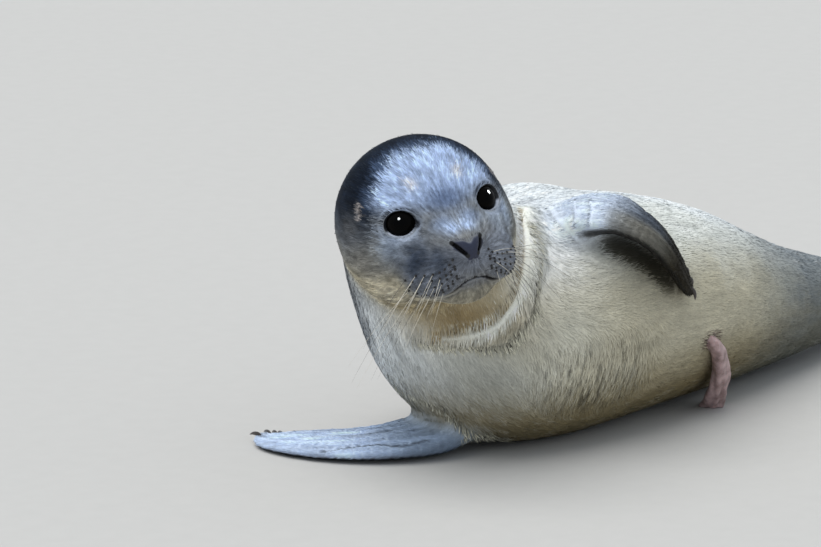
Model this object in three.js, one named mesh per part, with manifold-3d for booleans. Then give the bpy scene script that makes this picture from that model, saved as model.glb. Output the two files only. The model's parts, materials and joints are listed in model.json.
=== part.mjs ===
// Newborn harbor seal pup, still museum model, life size.
// Millimetres, +Z up. The pup lies on its right side: head at -X, tail at +X,
// belly towards -Y, face turned towards -Y and -X.
import * as THREE from 'three';
import { mergeVertices } from 'three/addons/utils/BufferGeometryUtils.js';
import Module from 'manifold-3d';

const wasm = await Module();
wasm.setup();

// ------------------------------------------------------------------ sizes
const GAP = 0.3;              // clearance between neighbouring parts
const BODY_CELL = 22;         // facet size on the trunk
const NECK_CELL = 16.5;
const HEAD_CELL = 10;         // facet size on the head
const MUZZLE_CELL = 6.8;      // facet size on the muzzle
const LID_WIDE = 44.5, LID_HIGH = 34.5;   // half angles of the eye opening
const CRESCENT = 12;          // how far the outer toes of the hind flippers lead the middle one
const EYE_R = 14.5;           // eyeball radius
const EYE_APEX = [45.0, 35.2, 9.6];   // front of the eye in head axes (forward, left, up)
const EYE_SINK = 11.5;        // eyeball centre behind that point
const EYE_LOOK = [0.84, 0.46, 0.28];  // gaze of the left eye in head axes
const HEAD_AT = [-90.01, 5.907, 200.31];  // centre of the head
// head axes: forward, left and up, as the turned and tilted head carries them
const HEAD_F = [-0.49445, -0.86766, -0.05176];
const HEAD_L = [0.84568, -0.49397, 0.20204];
const HEAD_U = [-0.20087, 0.05613, 0.97801];
const FLOOR = 0;

// spine of the trunk and neck: x, y, z, half depth (belly to back), half height
const SPINE = [
  [468, 0, 37, 20, 22], [432, 0, 42, 33, 36], [400, 0, 46, 41, 42], [350, 2, 53, 52, 51],
  [290, 4, 64, 64, 64], [230, 8, 76, 78, 77], [170, 12, 84, 89, 86], [115, 16, 88, 95, 92],
  [65, 18, 90, 95, 94], [25, 20, 94, 88, 92], [-5, 23, 106, 80, 84], [-32, 24, 130, 72, 74],
  [-52, 25, 158, 66, 68], [-62, 26, 180, 62, 64]];
// fold of loose skin under the throat: x, y, z, radius
const FOLD = [
  [-90, 18, 104, 8], [-90, 1, 106, 9], [-79, -17, 107, 9.5], [-67, -29, 109, 10], [-54, -38, 115, 10],
  [-41, -43, 126, 10], [-29, -44, 139, 10], [-15, -39, 152, 9.5], [3, -27, 164, 9], [28, -5, 174, 8]];
// limbs: x, y, z, half width, half thickness, then the axis of the width
const FORE_L = [
  [40, -2, 148, 30, 24, -0.96, -0.25, -0.05], [61, -29, 172, 35, 17, -0.93, -0.36, -0.06],
  [72, -49, 177, 35, 12.5, -0.84, -0.53, -0.08], [80, -67, 171, 32, 10, -0.72, -0.67, -0.15],
  [93, -76, 160, 31, 8.5, -0.66, -0.70, -0.27], [107, -81, 144, 27, 7, -0.65, -0.66, -0.38],
  [120, -83, 127, 19, 5.5, -0.64, -0.62, -0.45], [129, -83, 116, 10, 4.2, -0.61, -0.60, -0.51]];
const FORE_R = [
  [6, 33, 30, 34, 24, -0.4, -0.9, 0], [-28, 40, 15, 36, 15, -0.5, -0.85, 0],
  [-52, 55, 10.5, 39, 11.5, -0.76, -0.65, 0], [-72, 80, 7.5, 38, 9, -0.89, -0.45, 0],
  [-84, 108, 6, 33, 7.5, -0.95, -0.3, 0], [-90, 132, 5, 25, 6, -1, -0.1, 0],
  [-90, 149, 4, 15, 4.6, -1, 0, 0], [-88, 157, 4, 8, 4, -1, 0, 0]];
const HIND_L = [
  [425, -2, 52, 20, 22, 0, -1, 0], [455, -5, 46, 19, 15, 0, -1, 0], [480, -9, 40, 20, 10, 0, -1, 0.1],
  [505, -13, 34, 25, 7.5, 0, -1, 0.1], [535, -18, 29, 31, 6, 0, -1, 0.05], [562, -22, 26, 33, 4.8, 0, -1, 0],
  [584, -25, 25, 27, 3.8, 0, -1, 0]];
const HIND_R = [
  [425, -2, 28, 20, 20, 0, -1, 0], [455, 1, 18, 19, 15, 0, -1, 0], [480, 4, 11, 20, 11.5, 0, -1, 0],
  [505, 8, 8, 25, 8.5, 0, -1, 0], [535, 12, 6, 31, 6.8, 0, -1, 0], [562, 16, 5, 33, 5.6, 0, -1, 0],
  [584, 19, 4, 27, 4.6, 0, -1, 0]];
const TAIL = [
  [440, 10, 38, 15, 11, 0, 0, 1], [475, 19, 34, 13, 7.5, 0, 0, 1], [500, 26, 31, 11, 6, 0, 0, 1],
  [520, 31, 29, 7, 4.5, 0, 0, 1]];
// shrivelled navel cord from the belly down to the floor: x, y, z, half width, half thickness, width axis
const STUMP = [
  [172, -58, 68, 6, 6, 1, 0, 0], [179, -75, 60, 7, 6, 1, 0, 0], [190, -73, 45, 8.5, 7, 1, 0, 0],
  [203, -64, 27, 10.5, 8, 1, 0, 0], [215, -52, 10, 12, 9, 1, 0, 0], [220, -46, -6, 12, 10, 1, 0, 0]];

// ------------------------------------------------------------------ vectors
const dot = (a, b) => a[0] * b[0] + a[1] * b[1] + a[2] * b[2];
const sub = (a, b) => [a[0] - b[0], a[1] - b[1], a[2] - b[2]];
const add = (a, b) => [a[0] + b[0], a[1] + b[1], a[2] + b[2]];
const mul = (a, s) => [a[0] * s, a[1] * s, a[2] * s];
const len = (a) => Math.sqrt(dot(a, a));
const unit = (a) => mul(a, 1 / len(a));
const cross = (a, b) => [a[1] * b[2] - a[2] * b[1], a[2] * b[0] - a[0] * b[2], a[0] * b[1] - a[1] * b[0]];

// smooth curve through rows of numbers, n samples in each span
function smooth(rows, n) {
  const m = rows.length, out = [];
  const lin = (a, b) => a.map((v, i) => 2 * v - b[i]);
  for (let i = 0; i < m - 1; i++) {
    const p0 = i > 0 ? rows[i - 1] : lin(rows[0], rows[1]);
    const p1 = rows[i], p2 = rows[i + 1];
    const p3 = i + 2 < m ? rows[i + 2] : lin(rows[m - 1], rows[m - 2]);
    for (let k = 0; k < n; k++) {
      const t = k / n;
      out.push(p1.map((v, j) => 0.5 * (2 * v + (-p0[j] + p2[j]) * t
        + (2 * p0[j] - 5 * v + 4 * p2[j] - p3[j]) * t * t
        + (-p0[j] + 3 * v - 3 * p2[j] + p3[j]) * t * t * t)));
    }
  }
  out.push(rows[m - 1].slice());
  return out;
}
// along, width and thickness axes at each sample
function frames(s, wide) {
  return s.map((q, i) => {
    const a = s[Math.max(i - 1, 0)], b = s[Math.min(i + 1, s.length - 1)];
    const t = unit(sub(b, a));
    let w = wide || [q[5], q[6], q[7]];
    w = unit(sub(w, mul(t, dot(w, t))));
    return { c: [q[0], q[1], q[2]], t, w, n: cross(t, w), rw: q[3], rh: q[4] };
  });
}

// ------------------------------------------------------------------ solid form as a distance field
const smin = (a, b, k) => {
  const h = Math.min(1, Math.max(0, 0.5 + 0.5 * (b - a) / k));
  return b * (1 - h) + a * h - k * h * (1 - h);
};
function ellipsoid(x, y, z, rx, ry, rz) {
  const a = x / rx, b = y / ry, c = z / rz;
  const k1 = Math.sqrt(a * a + b * b + c * c);
  if (k1 < 1e-6) return -Math.min(rx, ry, rz);
  const d = a / rx, e = b / ry, f = c / rz;
  return k1 * (k1 - 1) / Math.sqrt(d * d + e * e + f * f);
}
const spine = frames(smooth(SPINE, 5), [0, 1, 0]);
const fold = smooth(FOLD, 4);
function trunk(p) {
  let d = 1e9;
  for (const s of spine) {
    const q = sub(p, s.c);
    d = Math.min(d, ellipsoid(dot(q, s.t), dot(q, s.w), dot(q, s.n), (s.rw + s.rh) / 2, s.rw, s.rh));
  }
  return d;
}
const LOOK = unit(EYE_LOOK);
const EYE_C = sub(EYE_APEX, mul(LOOK, EYE_SINK));
function head(p) {
  const v = sub(p, HEAD_AT);
  const f = dot(v, HEAD_F), l = Math.sqrt(dot(v, HEAD_L) ** 2 + 0.01), u = dot(v, HEAD_U);
  const E = (a, b, c, ra, rb, rc) => ellipsoid(f - a, l - b, u - c, ra, rb, rc);
  let d = E(-6, 0, -8, 64, 64, 62);                       // cranium
  d = smin(d, E(12, 14, -24, 48, 48, 42), 16);            // cheeks
  let m = E(46, 0, -16, 38, 35, 28);                      // muzzle
  m = smin(m, smin(E(64, 19, -30, 20, 21, 17), E(64, 0, -26, 22, 15, 17), 10), 12);  // whisker pads
  m = smin(m, E(74, 0, -11, 15, 14, 11), 8);              // nose
  d = smin(d, m, 22);
  return smin(d, E(58, 0, -45, 23, 22, 13), 6);           // chin
}
function body(p) {
  let d = trunk(p);
  d = smin(d, ellipsoid(p[0] - 80, p[1] - 42, p[2] - 146, 55, 42, 40), 22);   // shoulder blade
  d = smin(d, head(p), 12);
  let b = 1e9;
  for (const s of fold) b = Math.min(b, Math.hypot(p[0] - s[0], p[1] - s[1], p[2] - s[2]) - s[3]);
  return smin(d, b, 9);
}

// closed skin of a field inside a box, by surface nets: one point in each crossed cell
function skin(f, lo, hi, h) {
  const n = [0, 1, 2].map((k) => Math.ceil((hi[k] - lo[k]) / h) + 1);
  const at = (i, j, k) => (i * n[1] + j) * n[2] + k;
  const F = new Float64Array(n[0] * n[1] * n[2]);
  for (let i = 0; i < n[0]; i++) for (let j = 0; j < n[1]; j++) for (let k = 0; k < n[2]; k++) {
    const edge = i === 0 || j === 0 || k === 0 || i === n[0] - 1 || j === n[1] - 1 || k === n[2] - 1;
    const v = f([lo[0] + i * h, lo[1] + j * h, lo[2] + k * h]);
    F[at(i, j, k)] = edge ? Math.max(v, 0.25 * h) : v;
  }
  const id = new Map(), pos = [], free = [];
  const corner = [];
  for (let a = 0; a < 2; a++) for (let b = 0; b < 2; b++) for (let c = 0; c < 2; c++) corner.push([a, b, c]);
  for (let i = 0; i < n[0] - 1; i++) for (let j = 0; j < n[1] - 1; j++) for (let k = 0; k < n[2] - 1; k++) {
    let s = 0; const P = [0, 0, 0]; let m = 0;
    for (const a of corner) if (F[at(i + a[0], j + a[1], k + a[2])] < 0) s++;
    if (s === 0 || s === 8) continue;
    for (const a of corner) for (let ax = 0; ax < 3; ax++) if (a[ax] === 0) {
      const b = a.slice(); b[ax] = 1;
      const va = F[at(i + a[0], j + a[1], k + a[2])], vb = F[at(i + b[0], j + b[1], k + b[2])];
      if ((va < 0) !== (vb < 0)) {
        const t = va / (va - vb);
        for (let q = 0; q < 3; q++) P[q] += a[q] + (q === ax ? t : 0);
        m++;
      }
    }
    id.set(at(i, j, k), pos.length);
    pos.push([lo[0] + (i + P[0] / m) * h, lo[1] + (j + P[1] / m) * h, lo[2] + (k + P[2] / m) * h]);
    free.push(i > 0 && j > 0 && k > 0 && i < n[0] - 2 && j < n[1] - 2 && k < n[2] - 2);
  }
  // settle each point on the true surface
  const g = (p) => {
    const e = 0.4, o = [];
    for (let q = 0; q < 3; q++) { const a = p.slice(), b = p.slice(); a[q] += e; b[q] -= e; o.push((f(a) - f(b)) / (2 * e)); }
    return o;
  };
  for (let i = 0; i < pos.length; i++) if (free[i]) for (let it = 0; it < 2; it++) {
    const v = f(pos[i]), G = g(pos[i]), q = -v / Math.max(dot(G, G), 1e-4);
    const lim = Math.min(1, 0.45 * h / Math.max(Math.abs(q) * len(G), 1e-9));
    pos[i] = add(pos[i], mul(G, q * lim));
  }
  const tri = [];
  const e3 = [[1, 0, 0], [0, 1, 0], [0, 0, 1]];
  for (let i = 1; i < n[0] - 1; i++) for (let j = 1; j < n[1] - 1; j++) for (let k = 1; k < n[2] - 1; k++) {
    for (let ax = 0; ax < 3; ax++) {
      const b = e3[ax], va = F[at(i, j, k)], vb = F[at(i + b[0], j + b[1], k + b[2])];
      if ((va < 0) === (vb < 0)) continue;
      const u = e3[(ax + 1) % 3], w = e3[(ax + 2) % 3];
      const c = (a, d) => id.get(at(i - a * u[0] - d * w[0], j - a * u[1] - d * w[1], k - a * u[2] - d * w[2]));
      const Q = [c(0, 0), c(1, 0), c(1, 1), c(0, 1)];
      if (va >= 0) Q.reverse();
      // split along the shorter diagonal
      const d1 = len(sub(pos[Q[0]], pos[Q[2]])), d2 = len(sub(pos[Q[1]], pos[Q[3]]));
      if (d1 <= d2) tri.push(Q[0], Q[1], Q[2], Q[0], Q[2], Q[3]);
      else tri.push(Q[1], Q[2], Q[3], Q[1], Q[3], Q[0]);
    }
  }
  const geo = new THREE.BufferGeometry();
  geo.setAttribute('position', new THREE.Float32BufferAttribute(pos.flat(), 3));
  geo.setIndex(tri);
  return geo;
}

// lofted limb: rings of an ellipse along a path, rounded off at the tip
function limb(rows, n, m, blunt, lead = 0, caps = [[0.5, 0.85], [0.85, 0.5], [1, 0]]) {
  const s = frames(smooth(rows, n));
  s.forEach((q, i) => { const f = Math.max(0, 2 * i / (s.length - 1) - 1); q.lead = lead * f * f; });
  const tip = s[s.length - 1];
  const rings = s.slice();
  for (const [a, r] of caps) rings.push({ ...tip, c: add(tip.c, mul(tip.t, a * blunt)), rw: tip.rw * r, rh: tip.rh * Math.max(r, 0) });
  const pos = [];
  pos.push(...s[0].c);
  for (const q of rings.slice(0, -1)) for (let k = 0; k < m; k++) {
    const a = 2 * Math.PI * k / m, x = Math.cos(a) * q.rw / tip.rw;
    pos.push(...add(add(q.c, mul(q.t, q.lead * x * x)), add(mul(q.w, q.rw * Math.cos(a)), mul(q.n, q.rh * Math.sin(a)))));
  }
  pos.push(...rings[rings.length - 1].c);
  const R = rings.length - 1, last = 1 + R * m, tri = [];
  const at = (i, k) => 1 + i * m + ((k + m) % m);
  for (let k = 0; k < m; k++) {
    tri.push(0, at(0, k + 1), at(0, k));
    tri.push(last, at(R - 1, k), at(R - 1, k + 1));
    for (let i = 0; i < R - 1; i++) {
      tri.push(at(i, k), at(i, k + 1), at(i + 1, k + 1));
      tri.push(at(i, k), at(i + 1, k + 1), at(i + 1, k));
    }
  }
  const geo = new THREE.BufferGeometry();
  geo.setAttribute('position', new THREE.Float32BufferAttribute(pos, 3));
  geo.setIndex(tri);
  return geo;
}

// ------------------------------------------------------------------ solids for cutting and joining
function solid(geo) {
  let g = geo.clone();
  g.deleteAttribute('normal'); g.deleteAttribute('uv');
  g = mergeVertices(g, 1e-4);
  const s = new wasm.Manifold(new wasm.Mesh({
    numProp: 3, vertProperties: new Float32Array(g.attributes.position.array), triVerts: new Uint32Array(g.index.array) }));
  return s;
}
// the whole of space on one side of a plane, as a large block
function side(point, normal) {
  const S = 1600;
  const g = new THREE.BoxGeometry(S, S, S);
  g.translate(0, 0, S / 2);
  const q = new THREE.Quaternion().setFromUnitVectors(new THREE.Vector3(0, 0, 1), new THREE.Vector3(...unit(normal)));
  g.applyQuaternion(q);
  g.translate(...point);
  return solid(g);
}
const ball = (c, r, a, b) => { const g = new THREE.SphereGeometry(r, a, b); g.rotateX(Math.PI / 2); g.translate(...c); return g; };
function largest(m) {
  const parts = m.decompose();
  parts.sort((a, b) => b.volume() - a.volume());
  return parts[0];
}
// a solid's faces as geometry, with the slivers that cuts leave closed up
const SLIVER = 0.1;
function toGeometry(m) {
  const k = m.getMesh();
  const P = [];
  for (let i = 0; i < k.numVert; i++) P.push([0, 1, 2].map((j) => k.vertProperties[i * k.numProp + j]));
  let T = [];
  for (let i = 0; i < k.triVerts.length; i += 3) T.push([k.triVerts[i], k.triVerts[i + 1], k.triVerts[i + 2]]);
  for (let round = 0; round < 400; round++) {
    // the shortest edge goes first; its ends become one point
    let best = SLIVER, pair = null;
    for (const t of T) for (let e = 0; e < 3; e++) {
      const a = t[e], b = t[(e + 1) % 3];
      if (a < b) { const d = len(sub(P[a], P[b])); if (d < best) { best = d; pair = [a, b]; } }
    }
    if (!pair) break;
    const seen = new Map();
    for (const t of T) {
      const q = t.map((v) => (v === pair[1] ? pair[0] : v));
      if (q[0] === q[1] || q[1] === q[2] || q[0] === q[2]) continue;
      const key = q.slice().sort((x, y) => x - y).join();
      if (seen.has(key)) seen.delete(key); else seen.set(key, q);   // two faces back to back vanish
    }
    T = [...seen.values()];
  }
  const geo = new THREE.BufferGeometry();
  const used = new Map(), out = [];
  const idx = T.flat().map((v) => { if (!used.has(v)) { used.set(v, used.size); out.push(...P[v]); } return used.get(v); });
  geo.setAttribute('position', new THREE.BufferAttribute(new Float32Array(out), 3));
  geo.setIndex(idx);
  geo.computeVertexNormals();
  return geo;
}

const floorUp = side([0, 0, FLOOR], [0, 0, 1]);
const grow = (f, e) => (p) => f(p) - e;

// ------------------------------------------------------------------ parting planes: point, normal towards the head
const PART_HEAD = { p: [-65, 11, 150], n: [-0.62, -0.22, 0.76] };
const PART_NECK = { p: [-2, 22, 108], n: [-0.83, -0.1, 0.55] };
const PART_BELLY = { p: [150, 12, 86], n: [-1, 0, 0] };
const PART_RUMP = { p: [330, 3, 56], n: [-1, 0, 0] };
const PART_MUZZLE = { p: add(HEAD_AT, mul(HEAD_F, 53)), n: HEAD_F };
const ahead = (q) => side(add(q.p, mul(unit(q.n), GAP / 2)), q.n);
const behind = (q) => side(sub(q.p, mul(unit(q.n), GAP / 2)), mul(q.n, -1));

// the body continued a little past a parting plane, so that the cut itself is flat
const toward = (f, q, s, m) => (p) => Math.max(f(p), -s * dot(sub(p, q.p), unit(q.n)) - m);
const trunkSkin = skin(toward(body, PART_NECK, -1, 16), [-120, -120, -45], [530, 165, 260], BODY_CELL);
const neckSkin = skin(toward(toward(body, PART_NECK, 1, 11), PART_HEAD, -1, 11), [-175, -110, -30], [130, 150, 290], NECK_CELL);
const headSkin = skin(toward(toward(body, PART_HEAD, 1, 8), PART_MUZZLE, -1, 8), [-190, -115, 50], [60, 140, 290], HEAD_CELL);
const muzzleSkin = skin(toward(toward(body, PART_HEAD, 1, 8), PART_MUZZLE, 1, 5), [-190, -115, 60], [-40, 40, 260], MUZZLE_CELL);
const trunkSolid = solid(trunkSkin).intersect(floorUp);
const neckSolid = solid(neckSkin);
const headSolid = solid(headSkin);
const muzzleSolid = solid(muzzleSkin);

const eyeAt = (s) => add(HEAD_AT, add(mul(HEAD_F, EYE_C[0]), add(mul(HEAD_L, s * EYE_C[1]), mul(HEAD_U, EYE_C[2]))));
let headPart = headSolid.intersect(ahead(PART_HEAD)).intersect(behind(PART_MUZZLE));
const muzzlePart = muzzleSolid.intersect(ahead(PART_MUZZLE)).intersect(ahead(PART_HEAD));
// eye socket, and the opening between the lids: an oval cone spreading from the middle of the eyeball
const lookOf = (s) => unit(add(mul(HEAD_F, LOOK[0]), add(mul(HEAD_L, s * LOOK[1]), mul(HEAD_U, LOOK[2]))));
function lids(s) {
  const L = 26, rad = Math.PI / 180, d = lookOf(s);
  const up = unit(sub(HEAD_U, mul(d, dot(HEAD_U, d)))), wide = cross(up, d);
  const g = new THREE.ConeGeometry(1, L, 20);
  g.rotateX(-Math.PI / 2); g.translate(0, 0, L / 2);            // point at the origin, opening along +Z
  g.scale(L * Math.tan(LID_WIDE * rad), L * Math.tan(LID_HIGH * rad), 1);
  g.applyMatrix4(new THREE.Matrix4().makeBasis(new THREE.Vector3(...wide), new THREE.Vector3(...up), new THREE.Vector3(...d)));
  g.translate(...eyeAt(s));
  return solid(g);
}
const EYE_SIDES = 16, EYE_RINGS = 8;
for (const s of [1, -1]) headPart = headPart.subtract(solid(ball(eyeAt(s), EYE_R + GAP, EYE_SIDES, EYE_RINGS))).subtract(lids(s));
let neckPart = neckSolid.intersect(behind(PART_HEAD)).intersect(ahead(PART_NECK)).intersect(floorUp);
let chestPart = trunkSolid.intersect(behind(PART_NECK)).intersect(ahead(PART_BELLY));
let bellyPart = trunkSolid.intersect(behind(PART_BELLY)).intersect(ahead(PART_RUMP));
let rumpPart = trunkSolid.intersect(behind(PART_RUMP));

// a solid swollen by the clearance, for cutting its neighbour
function swollen(geo, e) {
  let g = geo.clone();
  g.deleteAttribute('normal'); g.deleteAttribute('uv');
  g = mergeVertices(g, 1e-4);
  g.computeVertexNormals();
  const p = g.attributes.position, n = g.attributes.normal;
  for (let i = 0; i < p.count; i++) p.setXYZ(i, p.getX(i) + e * n.getX(i), p.getY(i) + e * n.getY(i), p.getZ(i) + e * n.getZ(i));
  g.deleteAttribute('normal');
  return solid(g);
}
const trunkRoom = swollen(trunkSkin, 0.4), neckRoom = swollen(neckSkin, 0.4);
const LIMB = 10, STEPS = 2;   // points round a limb, rings in each span
const limbs = {
  foreflipper_left: limb(FORE_L, STEPS, LIMB, 6), foreflipper_right: limb(FORE_R, STEPS, LIMB, 5),
  hindflipper_left: limb(HIND_L, STEPS, LIMB, 7, CRESCENT), hindflipper_right: limb(HIND_R, STEPS, LIMB, 7, CRESCENT),
  tail: limb(TAIL, STEPS, 10, 6), navel_stump: limb(STUMP, STEPS, 10, 4) };
const cut = {};
for (const [name, geo] of Object.entries(limbs)) cut[name] = solid(geo).subtract(trunkRoom).subtract(neckRoom).intersect(floorUp);
cut.hindflipper_left = cut.hindflipper_left.subtract(swollen(limbs.tail, 0.4));
cut.hindflipper_right = cut.hindflipper_right.subtract(swollen(limbs.tail, 0.4)).subtract(swollen(limbs.hindflipper_left, 0.4));

// claws: a curved spike on the upper side of each digit, near the edge of the web
function claw(rows, along, across, fan, high, long, r) {
  const s = frames(smooth(rows, 8)), q = s[Math.round(along * (s.length - 1))];
  const up = mul(q.n, q.n[2] < 0 ? -1 : 1);
  const dir = unit(add(mul(q.t, Math.cos(fan)), mul(q.w, Math.sin(fan))));
  const base = add(q.c, add(mul(q.w, across * q.rw), mul(up, high * q.rh * Math.sqrt(1 - across * across))));
  const line = [[-0.3, -0.55], [0.25, 0.2], [0.65, 0.1], [1, -0.5]].map(([a, h]) => add(base, add(mul(dir, a * long), mul(up, h * r * 1.5))));
  const w = unit(cross(up, dir));
  return limb(line.map((c, i) => [...c, r * [0.8, 0.85, 0.6, 0.12][i], r * [0.8, 1, 0.7, 0.12][i], ...w]), 1, 5, r * 0.15, 0, [[1, 0]]);
}
// along the limb, across it (1 is the leading edge), turn, height in the thickness, length, radius
const FORE_CLAWS = [
  [0.985, 0.5, 0.12, 0.75, 12, 1.8], [0.97, -0.4, -0.2, 0.75, 13, 1.8], [0.915, -0.68, -0.4, 0.75, 13, 1.8],
  [0.85, -0.84, -0.5, 0.75, 12, 1.7], [0.775, -0.92, -0.6, 0.75, 11, 1.6]];
const HIND_CLAWS = [-0.88, -0.47, 0, 0.47, 0.88].map((x) => [1, x, x * 0.25, 0.35, 9 + 7 * x * x, 1.5]);
const clawSets = {
  claw_fore_left: [FORE_L, FORE_CLAWS], claw_fore_right: [FORE_R, FORE_CLAWS],
  claw_hind_left: [HIND_L, HIND_CLAWS], claw_hind_right: [HIND_R, HIND_CLAWS] };
const limbOf = { claw_fore_left: 'foreflipper_left', claw_fore_right: 'foreflipper_right', claw_hind_left: 'hindflipper_left', claw_hind_right: 'hindflipper_right' };
const claws = {};
for (const [set, [rows, list]] of Object.entries(clawSets)) list.forEach((c, i) => {
  const geo = claw(rows, ...c);
  if (set.includes('hind')) geo.translate(...mul(frames(smooth(rows, 8)).at(-1).t, 5 + 10 * c[1] * c[1]));
  claws[`${set}_${i + 1}`] = solid(geo);
  cut[limbOf[set]] = cut[limbOf[set]].subtract(swollen(geo, GAP));
});

const SLATE = 0x66707c, CREAM = 0xb9b4a2, DARK = 0x3a3e46, BLACK = 0x0b0a0c, HORN = 0x3b3431, PINK = 0xa98a90;
const finish = (color, rough = 0.85) => new THREE.MeshStandardMaterial({ color, roughness: rough, metalness: 0 });
const seal = new THREE.Group();
seal.name = 'harbor_seal_pup';
function put(name, m, mat) {
  const mesh = new THREE.Mesh(m instanceof THREE.BufferGeometry ? m : toGeometry(largest(m)), mat);
  mesh.name = name;
  seal.add(mesh);
  return mesh;
}
put('head', headPart, finish(SLATE));
put('muzzle', muzzlePart, finish(DARK));
put('neck', neckPart, finish(CREAM));
put('chest', chestPart, finish(CREAM));
put('belly', bellyPart, finish(CREAM));
put('rump', rumpPart, finish(SLATE));
for (const s of [1, -1]) put(s > 0 ? 'eye_left' : 'eye_right', ball(eyeAt(s), EYE_R, EYE_SIDES, EYE_RINGS), finish(BLACK, 0.05));
const bare = { navel_stump: finish(PINK, 0.6), tail: finish(SLATE) };
for (const name of Object.keys(limbs)) put(name, cut[name], bare[name] || finish(SLATE));
for (const [name, m] of Object.entries(claws)) put(name, m, finish(HORN, 0.45));
// the model stands on z = 0, with the middle of its box over the origin
const ORIGIN = [230.81, 35.09, 0];
for (const m of seal.children) m.geometry.translate(-ORIGIN[0], -ORIGIN[1], -ORIGIN[2]);
export default seal;
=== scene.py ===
"""Looks of the newborn harbor seal pup: one skin, a coat of short tufts, eyes, claws, whiskers and navel stump.
Numbers in the tables are millimetres in the pup's own working frame: head at -X, tail at +X, belly towards -Y, +Z up."""
import json
import math

import bpy
import numpy as np
from mathutils import Matrix, Vector

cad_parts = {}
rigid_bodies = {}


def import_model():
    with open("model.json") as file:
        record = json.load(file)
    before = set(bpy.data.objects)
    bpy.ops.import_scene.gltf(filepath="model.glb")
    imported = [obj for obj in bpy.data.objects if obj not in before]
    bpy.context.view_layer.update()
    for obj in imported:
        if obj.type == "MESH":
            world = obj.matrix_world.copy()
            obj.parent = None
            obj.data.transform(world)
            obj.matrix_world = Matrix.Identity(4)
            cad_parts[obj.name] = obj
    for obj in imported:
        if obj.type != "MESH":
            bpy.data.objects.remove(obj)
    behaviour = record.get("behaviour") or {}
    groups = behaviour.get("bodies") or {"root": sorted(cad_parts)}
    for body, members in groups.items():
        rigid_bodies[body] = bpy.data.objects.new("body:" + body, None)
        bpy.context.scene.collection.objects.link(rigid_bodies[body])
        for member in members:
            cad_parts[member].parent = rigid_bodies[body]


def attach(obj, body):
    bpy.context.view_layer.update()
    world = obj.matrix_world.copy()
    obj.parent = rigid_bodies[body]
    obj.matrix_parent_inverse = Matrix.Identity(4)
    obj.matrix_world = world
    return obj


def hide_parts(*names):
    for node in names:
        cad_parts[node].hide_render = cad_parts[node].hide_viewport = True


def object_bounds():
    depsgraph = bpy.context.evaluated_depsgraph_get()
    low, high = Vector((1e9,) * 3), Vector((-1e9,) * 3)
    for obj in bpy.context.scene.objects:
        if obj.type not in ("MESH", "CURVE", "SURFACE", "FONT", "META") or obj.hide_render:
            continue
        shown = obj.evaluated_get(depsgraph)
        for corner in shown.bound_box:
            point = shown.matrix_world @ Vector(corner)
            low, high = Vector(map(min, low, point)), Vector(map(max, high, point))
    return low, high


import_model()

cad_lo, cad_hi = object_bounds()
ORIGIN = np.array([230.81, 35.09, 0.0])   # of the row frame, in the working frame
rng = np.random.default_rng(20)


def row(P):
    return (np.asarray(P, float) - ORIGIN) / 1000.0


def unit(v):
    v = np.asarray(v, float)
    return v / np.maximum(np.linalg.norm(v, axis=-1, keepdims=True), 1e-9)


# ------------------------------------------------------------------ form: the same tables as the solids
HC = np.array([-90.01, 5.907, 200.31])
HF = np.array([-0.49445, -0.86766, -0.05176])
HL = np.array([0.84568, -0.49397, 0.20204])
HU = np.array([-0.20087, 0.05613, 0.97801])
HAX = np.stack([HF, HL, HU])
SPINE = [
    (468, 0, 37, 20, 22), (432, 0, 42, 33, 36), (400, 0, 46, 41, 42), (350, 2, 53, 52, 51),
    (290, 4, 64, 64, 64), (230, 8, 76, 78, 77), (170, 12, 84, 89, 86), (115, 16, 88, 95, 92),
    (65, 18, 90, 95, 94), (25, 20, 94, 88, 92), (-5, 23, 106, 80, 84), (-32, 24, 130, 72, 74),
    (-52, 25, 158, 66, 68), (-62, 26, 180, 62, 64)]
FOLD = [
    (-90, 18, 104, 8), (-90, 1, 106, 9), (-79, -17, 107, 9.5), (-67, -29, 109, 10), (-54, -38, 115, 10),
    (-41, -43, 126, 10), (-29, -44, 139, 10), (-15, -39, 152, 9.5), (3, -27, 164, 9), (28, -5, 174, 8)]
FORE_L = [
    (40, -2, 148, 30, 24, -0.96, -0.25, -0.05), (61, -29, 172, 35, 17, -0.93, -0.36, -0.06),
    (72, -49, 177, 35, 12.5, -0.84, -0.53, -0.08), (80, -67, 171, 32, 10, -0.72, -0.67, -0.15),
    (93, -76, 160, 31, 8.5, -0.66, -0.70, -0.27), (107, -81, 144, 27, 7, -0.65, -0.66, -0.38),
    (120, -83, 127, 19, 5.5, -0.64, -0.62, -0.45), (129, -83, 116, 10, 4.2, -0.61, -0.60, -0.51)]
FORE_R = [
    (6, 33, 30, 34, 24, -0.4, -0.9, 0), (-28, 40, 15, 36, 15, -0.5, -0.85, 0),
    (-52, 55, 10.5, 39, 11.5, -0.76, -0.65, 0), (-72, 80, 7.5, 38, 9, -0.89, -0.45, 0),
    (-84, 108, 6, 33, 7.5, -0.95, -0.3, 0), (-90, 132, 5, 25, 6, -1, -0.1, 0),
    (-90, 149, 4, 15, 4.6, -1, 0, 0), (-88, 157, 4, 8, 4, -1, 0, 0)]
HIND_L = [
    (425, -2, 52, 20, 22, 0, -1, 0), (455, -5, 46, 19, 15, 0, -1, 0), (480, -9, 40, 20, 10, 0, -1, 0.1),
    (505, -13, 34, 25, 7.5, 0, -1, 0.1), (535, -18, 29, 31, 6, 0, -1, 0.05), (562, -22, 26, 33, 4.8, 0, -1, 0),
    (584, -25, 25, 27, 3.8, 0, -1, 0)]
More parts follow.
